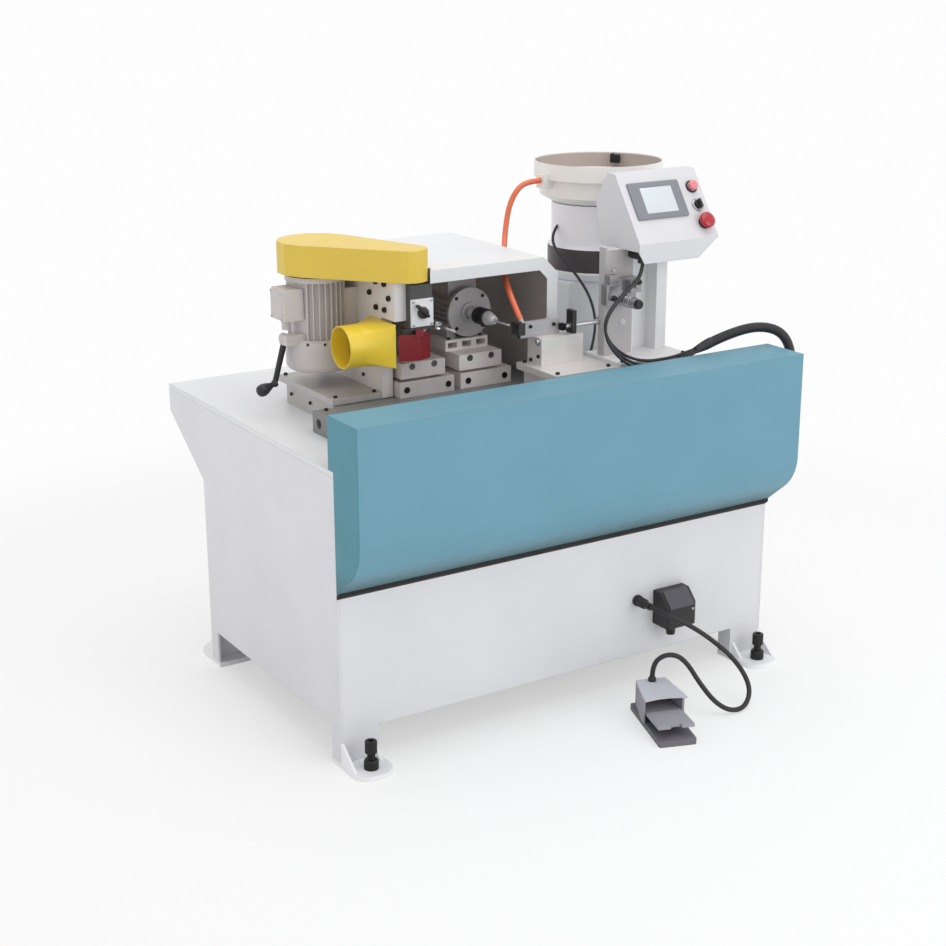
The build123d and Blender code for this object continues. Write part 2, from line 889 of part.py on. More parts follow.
# Spindle with its housing, cutter and red guard
house_top = column_top - motor_top_gap
house_low = house_top - house_h
house_left = column_x + column_t
house_x1 = spindle_x + house_right
house = block(house_left, house_x1, spindle_y - house_half, spindle_y + house_half, house_low, house_top)
house += rod_z(house_low - nose_h, house_low, spindle_x, spindle_y, nose_r)
house -= rod_z(house_low - nose_h - 1, house_top + 1, spindle_x, spindle_y, spindle_r + turn_fit)
nodes["spindle_housing"] = house
cutter_top = house_low - nose_h - air_gap
spindle = rod_z(cutter_top, drive_z + pulley_h / 2 + shaft_over, spindle_x, spindle_y, spindle_r)
spindle += rod_z(cutter_top - cutter_h * 0.4, cutter_top, spindle_x, spindle_y, cutter_r)
spindle += rod_z(cutter_top - cutter_h, cutter_top, spindle_x, spindle_y, cutter_r * 0.6)
for i in range(cutter_edges):
    edge = Pos(cutter_r * 0.7, 0, cutter_top - cutter_h * 0.7) * Box(cutter_r * 0.5, edge_t, cutter_h * 0.6)
    spindle += Pos(spindle_x, spindle_y, 0) * Rot(0, 0, 45 + 360 / cutter_edges * i) * edge
nodes["cutter_spindle"] = spindle
house_front = spindle_y - house_half
shield_bottom = bed_top + shield_low
shield_line = [
    (column_x + shield_bow, house_front + shield_back), (spindle_x + shield_peak, house_front - shield_bow),
    (house_x1, house_front + shield_back),
]
shield = prism_z(strip(shield_line, shield_t), shield_bottom, shield_bottom + shield_h)
tab_x = spindle_x + shield_peak
tab_low = shield_bottom + shield_h - shield_peak
tab_top = tab_low + 2 * tab_half
tab = block(tab_x - tab_half, tab_x + tab_half, house_front - shield_bow, house_front, tab_low, tab_top)
nodes["cutter_guard"] = shield + tab

# Dust duct: round mouth, short neck and a taper onto the column's left face
duct_z = bed_top + duct_low
duct_x0 = column_x - duct_taper - duct_neck


def duct_body(inset):
    r = duct_r - inset
    neck = rod_x(duct_x0 - inset, duct_x0 + duct_neck, duct_y, duct_z, r)
    round_face = Plane(origin=(duct_x0 + duct_neck, duct_y, duct_z), z_dir=(1, 0, 0)) * Circle(r)
    square = Plane(origin=(column_x, duct_y, duct_z), x_dir=(0, 1, 0), z_dir=(1, 0, 0))
    square_face = square * Rectangle(duct_wide - 2 * inset, duct_tall - 2 * inset)
    return neck + loft([round_face, square_face])


duct = duct_body(0) - duct_body(duct_t)
nodes["dust_duct"] = duct

# Changeover switch on the housing's front
switch_z = house_low + switch_up
half_w = (house_x1 - house_left) / 2
plate_x = house_left + half_w
switch_face = house_front - plate_t
plate_low = switch_z - plate_h / 2
plate = block(house_left, house_x1, switch_face, house_front, plate_low, plate_low + plate_h)
plate -= rod_y(switch_face - 1, house_front - 1, plate_x, switch_z, lever_pin_r + turn_fit)
nodes["switch_plate"] = plate
knob = rod_y(switch_face - knob_h, switch_face - air_gap, plate_x, switch_z, knob_r)
knob += rod_y(switch_face - air_gap, switch_face + plate_t - 2, plate_x, switch_z, lever_pin_r)
handle = Pos(0, 0, knob_r * 0.9) * Box(knob_r * 0.6, knob_h * 1.5, knob_r * 2.6)
knob += Pos(plate_x, switch_face - knob_h, switch_z) * Rot(0, -45, 0) * handle
nodes["switch_knob"] = knob

# Clamp lever hanging from the lug on the motor
lever = rod_y(lever_hub_front + air_gap, lever_hub_front + lever_hub_len, lever_x, lever_z, lever_hub_r)
lever += rod_y(lever_hub_front - lever_pin_len, lever_hub_front + air_gap, lever_x, lever_z, lever_pin_r)
lever_dir = Plane(
    origin=(lever_x, lever_hub_front + lever_hub_len / 2, lever_z),
    z_dir=(-math.sin(math.radians(lever_lean)), 0, -math.cos(math.radians(lever_lean))),
)
lever += lever_dir.location * Pos(0, 0, lever_len / 2) * Cone(lever_root_r, lever_end_r, lever_len)
lever += lever_dir.location * Pos(0, 0, lever_len) * Sphere(lever_ball_r)
nodes["clamp_lever"] = lever

# Slides
nodes["tap_slide_base"] = slide_base(tap_base_left, tap_base_right, tap_x)
nodes["drill_slide_base"] = slide_base(drill_base_left, drill_base_right, drill_x)
nodes["tap_slide_table"] = slide_table(tap_table_left, tap_x)
drill_table = slide_table(drill_table_left, drill_x)
riser_c = block(block_left, block_right, block_front, block_front + block_len, slide_top, slide_top + block_h)
block_w = (block_right - block_left) / 3
for i in range(3):
    mid = block_left + block_w * (i + 0.5)
    cut = block(mid - block_w * 0.32, mid + block_w * 0.32, block_front - 1, block_front + block_len + 1,
                slide_top + block_h * 0.25, slide_top + block_h * 0.75)
    riser_c -= cut
nodes["drill_slide_table"] = [drill_table, riser_c]

# Tapping unit: motor on a saddle, spindle nose and tap
tap_cowl = tap_motor_len * 0.3
tap_frame_len = tap_motor_len - tap_cowl
tap_frame = motor_frame(tap_motor_r * 0.85, tap_motor_r, tap_frame_len, small_shield, tap_fins, [(270, 45)])
saddle_top = -tap_motor_r * 0.6
saddle = block(-saddle_half, saddle_half, -tap_lift, saddle_top, saddle_in, tap_frame_len - saddle_in)
tap_frame += saddle
tap_frame -= rod_z(tap_frame_len - shaft_seat, tap_frame_len + 1, 0, 0, spindle_r + turn_fit)
tap_place = Pos(tap_x, tap_motor_front + tap_frame_len, tap_z) * Rot(90, 0, 0)
tap_back = Pos(tap_x, tap_motor_front + tap_motor_len, tap_z) * Rot(90, 0, 0)
nodes["tap_motor"] = [tap_place * tap_frame, tap_back * fan_cup(tap_motor_r, tap_cowl, fan_t)]
nose_y = tap_tip + tap_stick
holder = rod_y(nose_y + tap_nose_len, tap_motor_front + shaft_hold, tap_x, tap_z, spindle_r)
holder += rod_y(nose_y, nose_y + tap_nose_len, tap_x, tap_z, tap_nose_r)
holder += rod_y(tap_motor_front - tap_collar, tap_motor_front - air_gap, tap_x, tap_z, spindle_r * 1.6)
holder -= rod_y(nose_y - 1, nose_y + tap_hold, tap_x, tap_z, tap_r + turn_fit / 2)
tap = rod_y(tap_tip + tap_point, nose_y + tap_hold, tap_x, tap_z, tap_r)
tap += Pos(tap_x, tap_tip + tap_point / 2, tap_z) * Rot(90, 0, 0) * Cone(tap_r, tap_r * 0.6, tap_point)
for i in range(3):
    flute = Pos(tap_r * 1.15, 0, 0) * Cylinder(tap_r * 0.5, tap_fluted)
    tap -= Pos(tap_x, tap_tip + tap_fluted / 2 - 1, tap_z) * Rot(90, 0, 0) * Rot(0, 0, 120 * i) * flute
nodes["tap_holder"] = [holder, tap]

# Drilling unit: motor on feet, chuck and bit
drill_cowl = drill_len * 0.28
drill_frame_len = drill_len - drill_cowl
drill_gaps = [(270, 48), (90, 42)]
drill_frame = motor_frame(drill_core_r, drill_fin_r, drill_frame_len, small_shield, drill_fins, drill_gaps)
for side in (-1, 1):
    foot_x = side * drill_foot_x
    foot_x0 = foot_x - drill_foot_half
    foot_x1 = foot_x + drill_foot_half
    foot_z1 = drill_frame_len - drill_foot_in
    drill_frame += block(foot_x0, foot_x1, -drill_shaft_h, -drill_core_r * 0.5, drill_foot_in, foot_z1)
drill_boss_end = drill_frame_len + drill_boss_t
drill_frame += rod_z(drill_frame_len, drill_boss_end, 0, 0, drill_boss_r)
drill_frame -= rod_z(drill_frame_len, drill_boss_end + 1, 0, 0, quill_sleeve_r + air_gap)
drill_frame -= rod_z(drill_frame_len - shaft_seat, drill_frame_len + 1, 0, 0, quill_r + turn_fit)
drill_place = Pos(drill_x, drill_front + drill_frame_len, drill_z) * Rot(90, 0, 0)
drill_back = Pos(drill_x, drill_front + drill_len, drill_z) * Rot(90, 0, 0)
box_end = drill_box_in + drill_box_len
drill_box_top = drill_core_r + drill_box_up
drill_box = block(-drill_box_half, drill_box_half, drill_core_r * 0.7, drill_box_top, drill_box_in, box_end)
drill_box -= rod_z(drill_box_in - 1, box_end + 1, 0, 0, drill_core_r)
drill_box = fillet(drill_box.edges().group_by(Axis.Y)[-1], drill_box_round)
drill_cup = drill_back * fan_cup(drill_fin_r, drill_cowl, fan_t)
nodes["drill_motor"] = [drill_place * drill_frame, drill_cup, drill_place * drill_box]
chuck = rod_y(chuck_front, chuck_back, drill_x, drill_z, chuck_r)
chuck += rod_y(chuck_back, drill_front + shaft_hold, drill_x, drill_z, quill_r)
chuck += rod_y(chuck_back, drill_front - air_gap, drill_x, drill_z, quill_sleeve_r)
nose_len = chuck_front - chuck_nose_y
chuck_cone = Cone(chuck_r * 0.85, chuck_r * 0.42, nose_len)
chuck += Pos(drill_x, chuck_front - nose_len / 2, drill_z) * Rot(90, 0, 0) * chuck_cone
chuck -= rod_y(chuck_nose_y - 1, chuck_nose_y + bit_hold, drill_x, drill_z, bit_r + turn_fit / 2)
nodes["drill_chuck"] = chuck
bit = rod_y(bit_tip + bit_point, chuck_nose_y + bit_hold, drill_x, drill_z, bit_r)
bit += Pos(drill_x, bit_tip + bit_point / 2, drill_z) * Rot(90, 0, 0) * Cone(bit_r, bit_r * 0.1, bit_point)
nodes["drill_bit"] = bit

# Hood: bent sheet over the units, with a back wall, a turned-in front flange and the hose hole
hood_top = bed_top + hood_h
hood_line = [
    (hood_right, bed_top), (hood_right, hood_top - hood_chamfer),
    (hood_right - hood_chamfer, hood_top), (hood_back_left, hood_top),
]
hood = prism_y(strip(hood_line, hood_t), hood_front, hood_back)
hood += prism_y(strip(hood_line, hood_lip), hood_front, hood_front + hood_t)
hood += prism_y(hood_line + [(hood_back_left, bed_top)], hood_back - hood_t, hood_back)
hood_cut = [
    (hood_back_left - 1, hood_front - 1), (hood_left, hood_front - 1),
    (hood_left + hood_notch, hood_notch_front), (hood_left + hood_notch, hood_notch_back),
    (hood_back_left - 1, hood_cut_back),
]
hood -= prism_z(hood_cut, bed_top - 1, hood_top + 1)
hose_cross = (hood_right - hose_from_right, hood_front + hose_from_front, hood_top - hose_from_top)
hole_way = Plane(origin=hose_cross, z_dir=(52, 84, 50))
hood -= hole_way.location * Cylinder(hose_hole_r, hose_hole_len)
nodes["motor_hood"] = hood

# Work fixture
fix_riser = block(fix_left, fix_right, fix_front, fix_back, bed_top, bed_top + fix_h)
fix_plate = block(fix_plate_left, fix_plate_right, fix_plate_front, fix_plate_back, bed_top + fix_h, fix_top)
nodes["fixture_base"] = [fix_riser, fix_plate]
fix_block = block(block_a, block_b, block_y0, block_y1, fix_top, block_top)
end_plate = block(block_a - end_plate_t, block_a, block_y0, block_y1, fix_top, block_top)
bracket_x = bracket_left + bracket_len
bracket_y1 = push_y + bracket_back
bracket = block(bracket_left, bracket_x, push_y - bracket_front, bracket_y1, block_top, block_top + bracket_h)
bracket -= rod_x(bracket_left - 1, bracket_x + 1, push_y, push_z, rod_r + turn_fit)
nodes["fixture_block"] = [fix_block, end_plate, bracket]
jaw_low = drill_z - jaw_below
jaw_top = drill_z + jaw_above
arm_back = jaw_front + jaw_len
jaw_left = drill_x + jaw_off
jaw_right = jaw_left + jaw_w
jaw = block(jaw_left, jaw_right, jaw_front, arm_back, jaw_low, jaw_top)
slot_z = jaw_low + jaw_slot_floor
slot_y0 = push_y - jaw_slot / 2
slot_y1 = push_y + jaw_slot / 2
jaw -= block(jaw_left - 1, jaw_right + 1, slot_y0, slot_y1, slot_z, jaw_top + 1)
jaw += block(jaw_right - 2, arm_right, arm_back - arm_t, arm_back, block_top, block_top + arm_h)
nipple_root = (jaw_right + nipple_right, arm_back - arm_t / 2, block_top + arm_h - nipple_deep)
nipple_way = Plane(origin=nipple_root, z_dir=(-5, 62, 79))
jaw += nipple_way.location * Pos(0, 0, nipple_len / 2) * Cylinder(hose_r - 1, nipple_len)
nodes["feed_jaw"] = jaw
push_low = push_z - push_half_z
push_high = push_z + push_half_z
push_right = push_left + push_len
pusher = block(push_left, push_right, push_y - push_half_y, push_y + push_half_y, push_low, push_high)
pusher += rod_x(push_right, rod_end, push_y, push_z, rod_r)
nodes["pusher_head"] = pusher
cyl_x = post_left + post_t
cylinder = rod_x(cyl_x, cyl_x + cyl_len, push_y, push_z, cyl_r)
cylinder -= rod_x(cyl_x - 1, rod_end + rod_stop, push_y, push_z, rod_r + turn_fit)
nodes["pusher_cylinder"] = cylinder

# Post of bent sheet on its base plate
riser_top = bed_top + fix_h
post_plate = block(post_plate_left, post_plate_right, post_plate_front, fix_plate_back, riser_top, fix_top)
step_back = post_front + post_step
post_line = [
    (post_left, post_left_back), (post_left, post_front), (post_step_a, post_front), (post_step_a, step_back),
    (post_step_b, step_back), (post_step_b, post_front), (post_right, post_front), (post_right, post_back),
]
post = prism_z(strip(post_line, post_t), fix_top, post_top)
wing_x = post_left + post_t
post += block(post_left, wing_x, post_front, post_left_back, post_top - post_wing, post_top + post_wing)
post -= rod_x(post_left - 1, post_left + post_t + 1, push_y, push_z, rod_r + air_gap)
nodes["control_post"] = [post, post_plate]

# Control box: folded shell with a sloping panel
panel_low = post_top + box_foot
panel_high = panel_low + box_panel_rise
panel_back = box_front + box_panel_run
box_far = panel_back + box_top + box_back_run
box_line = [
    (box_front, post_top), (box_front, panel_low),
    (panel_back, panel_high), (panel_back + box_top, panel_high),
    (box_far, panel_high - box_back_drop), (box_far - box_waist_run, post_top),
]
shell = prism_x(box_line, box_left, box_left + box_w)
box_right = box_left + box_w
lip_low = post_top - box_lip
shell += block(box_left, box_right, box_front, box_front + box_lip_t, lip_low, post_top)
corner = [(box_right - box_chamfer, lip_low - 1), (box_right + 1, lip_low - 1), (box_right + 1, panel_low)]
shell -= prism_y(corner, box_front - 1, box_far + 1)
corner_left = [
    (box_left - 1, lip_low - 1), (box_left + box_left_chamfer, lip_low - 1), (box_left - 1, post_top),
]
shell -= prism_y(corner_left, box_front - 1, box_front + box_lip_t + 1)
hollow_face = make_face(Polyline(*[(0, y, z) for y, z in box_line], close=True))
hollow_face = offset(hollow_face, -box_t, kind=Kind.INTERSECTION)
hollow = Pos(box_left + box_t, 0, 0) * extrude(hollow_face, amount=box_w - 2 * box_t, dir=(1, 0, 0))
hollow -= prism_y([(x - 2 * box_t, z + box_t) for x, z in corner], box_front - 1, box_far + 1)
shell -= hollow
panel = Plane(
    origin=(box_left, box_front, panel_low), x_dir=(1, 0, 0), z_dir=(0, -box_panel_rise, box_panel_run),
)


def on_panel(u, v, w):
    return panel.location * Pos(u, v, w)


cut_w = hmi_w - 2 * hmi_edge
cut_h = hmi_h - 2 * hmi_edge
shell -= on_panel(hmi_u, hmi_v, 0) * Box(cut_w, cut_h, 20)
rims = []
for v in (start_v, mode_v, stop_v):
    shell -= on_panel(button_u, v, 0) * Cylinder(button_stem_r + air_gap, 20)
    ring = on_panel(button_u, v, button_rim / 2) * Cylinder(button_rim_r, button_rim)
    rims.append(ring - on_panel(button_u, v, button_rim / 2) * Cylinder(button_r + air_gap, button_rim + 1))
gland_mid = post_step_a - box_gland_in
gland_axis = post_top - box_gland_drop
gland_y = box_front + box_gland_out
box_gland = rod_y(gland_y, post_front, gland_mid, gland_axis, box_gland_r)
box_gland += rod_z(gland_axis - box_nut_low, gland_axis + box_nut_up, gland_mid, gland_y, box_nut_r)
nodes["control_box"] = [shell] + rims + [box_gland]
hmi = on_panel(hmi_u, hmi_v, hmi_face / 2) * Box(hmi_w, hmi_h, hmi_face)
hmi += on_panel(hmi_u, hmi_v, -hmi_deep / 2) * Box(cut_w - 1, cut_h - 1, hmi_deep)
nodes["hmi_panel"] = hmi


def plunger(v, cap_r, cap_low, cap_high):
    stem = on_panel(button_u, v, (cap_low - button_hold) / 2) * Cylinder(button_stem_r, cap_low + button_hold)
    return stem + on_panel(button_u, v, (cap_low + cap_high) / 2) * Cylinder(cap_r, cap_high - cap_low)


rest_gap = button_travel + 1
nodes["start_button"] = plunger(start_v, button_r, rest_gap, rest_gap + button_out)
nodes["stop_button"] = plunger(stop_v, stop_r, button_rim + rest_gap, stop_out)
selector = plunger(mode_v, button_r, button_rim + air_gap, button_out)
bar = Box(selector_w, selector_len, selector_h)
selector += on_panel(button_u, mode_v, button_out + selector_h / 2) * bar
nodes["mode_selector"] = selector

# Air unit hung on the post's front
air_low = fix_top + manifold_low
air_front = post_front - manifold_t
air_right = post_step_a - manifold_edge
manifold = block(post_left + manifold_edge, air_right, air_front, post_front, air_low, air_low + manifold_h)
filter_z = air_low + manifold_h / 2
filter_body = block(filter_x - filter_w / 2, filter_x + filter_w / 2, air_front - filter_t, air_front,
                    filter_z - filter_h / 2, filter_z + filter_h / 2)
filter_body = fillet(filter_body.edges().filter_by(Axis.Z), filter_round)
filter_top = filter_z + filter_h / 2
filter_face = air_front - filter_t
filter_cap = block(filter_x - filter_cap_left, filter_x + filter_cap_right, filter_face + filter_cap_in,
                   air_front - filter_cap_in, filter_top, filter_top + filter_cap_h)
drain = rod_y(filter_face - drain_len, filter_face, filter_x - drain_left, filter_z - drain_below, drain_r)
reg_mid = fix_top + reg_z
reg_end = air_front - reg_len
reg = rod_y(reg_end, air_front, reg_x, reg_mid, reg_r)
reg -= rod_y(reg_end - 1, reg_end + reg_hole, reg_x, reg_mid, lever_pin_r + turn_fit)
valve_low = reg_mid + reg_r + valve_up
valve_face = air_front - valve_deep
valve = block(reg_x + valve_left, air_right, valve_face, air_front, valve_low, valve_low + valve_h)
port_x = reg_x + valve_port_right
valve += rod_y(valve_face - valve_port_len, valve_face, port_x, valve_low + valve_h / 2, valve_port_r)
nodes["air_unit"] = [manifold, filter_body, filter_cap, drain, reg, valve]
reg_knob = rod_y(reg_end - reg_knob_len, reg_end - air_gap, reg_x, reg_mid, reg_knob_r)
reg_knob += rod_y(reg_end - air_gap, reg_end + reg_hold, reg_x, reg_mid, lever_pin_r)
nodes["regulator_knob"] = reg_knob

# Vibratory feeder: pedestal, drum and bowl
ped_top = table_height + ped_h
ped = Pos(bowl_x, bowl_y, table_height + ped_h / 2) * Box(ped_w, ped_d, ped_h)
ped_hollow = Box(ped_w - 2 * ped_wall, ped_d - 2 * ped_wall, ped_h)
ped -= Pos(bowl_x, bowl_y, table_height + ped_h / 2 - ped_wall) * ped_hollow
band_z = ped_top + ped_flange_t
ped_flange = rod_z(ped_top, band_z, bowl_x, bowl_y, ped_flange_r)
ped_flange = fillet(ped_flange.edges().filter_by(GeomType.CIRCLE), ped_flange_round)
nodes["feeder_pedestal"] = ped + ped_flange
drum_z = band_z + band_h
band = rod_z(band_z, drum_z, bowl_x, bowl_y, band_r)
drum = rod_z(drum_z, drum_z + drum_h, bowl_x, bowl_y, drum_r)
drum -= rod_z(drum_z + drum_h - drum_hole, drum_z + drum_h + 1, bowl_x, bowl_y, hub_r / 2 + turn_fit)
nodes["feeder_drum"] = [band, drum]
mid_z = bowl_floor + cone_h
rim_z = mid_z + mid_h
bowl_top = rim_z + rim_h
bowl_line = [
    (0, bowl_floor), (bowl_low_r, bowl_floor), (bowl_mid_r, mid_z), (bowl_mid_r, rim_z), (bowl_rim_r, rim_z),
    (bowl_rim_r, bowl_top), (bowl_rim_r - bowl_t, bowl_top), (bowl_rim_r - bowl_t, rim_z + bowl_t),
    (bowl_mid_r - bowl_t - track_w, rim_z + bowl_t), (bowl_mid_r - bowl_t - track_w, rim_z),
    (bowl_mid_r - bowl_t, rim_z), (bowl_mid_r - bowl_t, mid_z + bowl_t),
    (bowl_low_r - bowl_t, bowl_floor + bowl_t),
    (hub_r, bowl_floor + bowl_t), (hub_r * 0.7, bowl_floor + hub_h), (0, bowl_floor + hub_h),
]
bowl_face = make_face(Polyline(*[(r, 0, z) for r, z in bowl_line], close=True))
bowl = Pos(bowl_x, bowl_y, 0) * revolve(bowl_face, axis=Axis.Z)
bowl += rod_z(bowl_floor - hub_pin_len, bowl_floor + bowl_t / 2, bowl_x, bowl_y, hub_r / 2)
spout_x = bowl_x - bowl_rim_r - spout_len
spout_y0 = bowl_y - spout_front
spout_y1 = bowl_y + spout_back
spout_in = bowl_x - bowl_mid_r + 2 * bowl_t
spout = block(spout_x, spout_in, spout_y0, spout_y1, rim_z - spout_low, rim_z + spout_up)
spout -= rod_z(mid_z, bowl_top, bowl_x, bowl_y, bowl_mid_r - 1)
nodes["feeder_bowl"] = bowl + spout

# Junction box and cord gland on the cabinet's front, conduit elbow on its right side
jbox_right = jbox_left + jbox_w
jbox_top = jbox_low + jbox_tall
bend_z = jbox_low + jbox_slope_low
slope_y = -jbox_deep + jbox_slope
jbox_line = [(0, jbox_low), (-jbox_deep, jbox_low), (-jbox_deep, bend_z), (slope_y, jbox_top), (0, jbox_top)]
jbox_blank = block(jbox_left, jbox_right, -jbox_deep, 0, jbox_low, jbox_top)
jbox_blank = fillet(jbox_blank.edges().filter_by(Axis.Z).group_by(Axis.Y)[0], jbox_round)
jbox = prism_x(jbox_line, jbox_left, jbox_right) & jbox_blank
lid_line = [(slope_y, jbox_top), (-jbox_deep, bend_z)]
lid = prism_x(strip(lid_line, -lid_t), jbox_left + lid_edge, jbox_right - lid_edge)
jbox_gland = rod_z(jbox_low - jbox_gland_h, jbox_low, jbox_left + jbox_gland_x, -jbox_deep / 2, jbox_gland_r)
cord_gland = rod_y(-gland_len, 0, gland_x, gland_z, gland_r)
cord_gland += rod_y(-gland_flange_t, 0, gland_x, gland_z, gland_flange_r)
cord_gland += rod_y(-gland_len - gland_nose, -gland_len, gland_x, gland_z, gland_nose_r)
nodes["junction_box"] = [jbox, lid, jbox_gland, cord_gland]

# Pedal, built about its own middle with its toe toward the front, then turned and placed
pedal_place = Pos(pedal_x, pedal_y, 0) * Rot(0, 0, pedal_turn)
half_l = pedal_len / 2
half_p = pedal_w / 2
pedal_base = block(-half_p, half_p, -half_l, half_l, 0, pedal_base_t)
pedal_base = fillet(pedal_base.edges().filter_by(Axis.Z), pedal_corner)
nodes["pedal_base"] = pedal_place * pedal_base
mouth_y = hood_rear_y - pedal_hood_len
pedal_top = pedal_base_t + pedal_hood_h


def pedal_hood_plan(inset, front):
    rear = pedal_rear_w / 2 - inset
    mouth = pedal_mouth_w / 2 - inset
    return [(-rear, hood_rear_y - inset), (-mouth, front), (mouth, front), (rear, hood_rear_y - inset)]


ped_hood = prism_z(pedal_hood_plan(0, mouth_y), pedal_base_t, pedal_top)
ped_hood -= prism_z(pedal_hood_plan(pedal_wall, mouth_y - 1), pedal_base_t - 1, pedal_top - pedal_wall)
roof_y = mouth_y - roof_over
roof_plan = [
    (-pedal_rear_w / 2, hood_rear_y), (-roof_w / 2, roof_y),
    (roof_w / 2, roof_y), (pedal_rear_w / 2, hood_rear_y),
]
roof = prism_z(roof_plan, pedal_top - pedal_wall, pedal_top)
dip_r = (roof_w ** 2 / 4 + roof_dip ** 2) / (2 * roof_dip)
roof -= rod_z(pedal_base_t, pedal_top + 1, 0, roof_y + roof_dip - dip_r, dip_r)
ped_hood += roof
ped_hood += rod_z(pedal_top, pedal_top + pedal_gland_len, 0, pedal_gland_y, pedal_gland_r)
pivot_part = (hood_rear_y - treadle_pivot_y) / pedal_hood_len
pivot_half = (pedal_rear_w + (pedal_mouth_w - pedal_rear_w) * pivot_part) / 2
pin_half = pivot_half - pin_skin
ped_hood -= rod_x(-pin_half, pin_half, treadle_pivot_y, treadle_pivot_z, treadle_pin_r + turn_fit)
nodes["pedal_hood"] = pedal_place * ped_hood
tread_line = [(treadle_tip_y, treadle_tip_z), (treadle_pivot_y, treadle_pivot_z + treadle_t / 2)]
treadle = prism_x(strip(tread_line, -treadle_t), -treadle_tip_w / 2, treadle_tip_w / 2)
tread_plan = [
    (-treadle_tip_w / 2, treadle_tip_y - treadle_round), (treadle_tip_w / 2, treadle_tip_y - treadle_round),
    (treadle_tip_w / 2, mouth_y), (treadle_w / 2, treadle_pivot_y + treadle_heel),
    (-treadle_w / 2, treadle_pivot_y + treadle_heel), (-treadle_tip_w / 2, mouth_y),
]
treadle &= prism_z(tread_plan, 0, pedal_top)
pin_end = pin_half - air_gap
treadle += rod_x(-pin_end, pin_end, treadle_pivot_y, treadle_pivot_z, treadle_pin_r)
treadle += rod_x(-treadle_w / 2, treadle_w / 2, treadle_pivot_y, treadle_pivot_z, treadle_pin_r * 2)
notch_y = treadle_tip_y + treadle_notch
notch_front = treadle_tip_y - treadle_notch * 2
treadle -= block(-treadle_notch_half, treadle_notch_half, notch_front, notch_y, 0, pedal_top)
nodes["pedal_treadle"] = pedal_place * treadle

# Cords: pedal cable from the cabinet's gland to the pedal
pedal_end = pedal_place * Pos(0, pedal_gland_y, pedal_top + pedal_gland_len)
end_at = tuple(pedal_end.position)
cord_start = (gland_x, -gland_len - gland_nose, gland_z)
cord_pts = route(cord_start, end_at, [
    (0, -56, 0), (48, -84, -25), (118, -98, -79), (175, -126, -139), (186, -168, -193), (148, -196, -225),
    (96, -202, -222), (60, -182, -197), (38, -146, -151), (24, -120, -111), (-0.9, -107.5, -86),
    (-31.3, -92.3, -86), (-52.7, -81.6, -110), (-52.7, -81.6, -144),
])
nodes["pedal_cable"] = tube(cord_pts, pedal_cord_r, "pedal_cable")

# Three cables from the control box to the conduit, and one from the feeder to the bed
elbow_y = elbow_front + elbow_w / 2
elbow_top = elbow_low + elbow_h
elbow_box = block(cab_width, cab_width + elbow_deep, elbow_front, elbow_front + elbow_w, elbow_low, elbow_top)
elbow_box += rod_z(elbow_top, elbow_top + elbow_neck, cab_width + elbow_axis, elbow_y, elbow_neck_r)
conduit_start = (cab_width + elbow_axis, elbow_y, elbow_top + elbow_neck)
bundle_end = (post_plate_right + bundle_right, post_plate_front - bundle_front, fix_top + fix_plate_t)
conduit_pts = route(conduit_start, bundle_end, [
    (0, -4, 45), (0, -40, 120), (-22, -28, 192), (-83, -2, 213), (-173, 16, 197), (-238, 16, 178),
])
conduit = tube(conduit_pts, conduit_r, "power_conduit")
bundle_start = (gland_mid, gland_y, gland_axis - box_nut_low)
bundle = route(bundle_start, bundle_end, [
    (-10, -10, -30), (-66, -25, -57), (-122, -32, -100), (-136, -36, -140), (-119, -40, -180),
    (-78, -44, -216), (-26, -44.5, -238), (39, -44.5, -242), (104, -44, -230), (164, -44, -212),
])
cables = []
for i in (-1, 0, 1):
    run = [(x, y + i * cable_pitch, z) for x, y, z in bundle]
    cables.append(tube(run, cable_r, "control_cable") - box_gland - conduit)
feeder_start = (bowl_x - drum_r + feeder_in, bowl_y + feeder_back, drum_z + drum_h / 2)
feeder_end = (post_left + feeder_foot_right, fix_plate_back + feeder_foot_back, bed_top)
feeder_run = route(feeder_start, feeder_end, [
    (-28, -10, -21), (-44, -52, -55), (-26, -100, -95), (-8, -147, -149), (-16, -190, -201),
    (-42, -222, -243), (-76, -250, -279), (-84, -256, -305), (-84, -256, -335),
])
cables.append(tube(feeder_run, cable_r, "feeder_cable") - drum)
nodes["control_cables"] = cables
nodes["power_conduit"] = [conduit, elbow_box]
hose_start = tuple((nipple_way.location * Pos(0, 0, nipple_len)).position)
hose_lead = tuple((nipple_way.location * Pos(0, 0, nipple_len + hose_lead_len)).position)
hose_low = route(hose_lead, hose_cross, [(33, 73, 36), (118, 204, 69)])
hose_end = (spout_x - 2 * air_gap, bowl_y + hose_end_back, rim_z - hose_end_drop)
hose_high = route(hose_cross, hose_end, [
    (27, 34, 51), (41, 39, 103), (63, 37, 141), (93, 36, 157), (131, 36, 157),
])
nodes["feed_hose"] = tube([hose_start] + hose_low + hose_high[1:], hose_r, "feed_hose")

# Socket screws on faces that stay put
screws = []
base_spots = (
    (base_left + screw_edge, base_back - screw_edge), (base_left + screw_edge, base_front + screw_edge),
    (column_x - screw_edge, base_front + screw_edge),
)
for x, y in base_spots:
    screws.append(screw(Pos(x, y, base_top)))
column_spots = ((44, 10), (84, 10), (24, 40), (114, 40), (44, 70), (84, 70))
for back, down in column_spots:
    place = Plane(origin=(column_x, column_nose + back, column_top - down), z_dir=(-1, 0, 0))
    screws.append(screw(place.location))
for x in (fix_plate_left + screw_edge, fix_plate_right - screw_edge):
    screws.append(screw(Pos(x, fix_plate_front + screw_edge, fix_top)))
screws.append(screw(Pos(fix_plate_left + screw_edge, fix_plate_back - screw_edge, fix_top)))
for y in (bed_front + 2 * screw_edge, bed_mid - screw_edge):
    screws.append(screw(Pos(bed_left + 2 * screw_edge, y, bed_top)))
nodes["socket_screws"] = screws

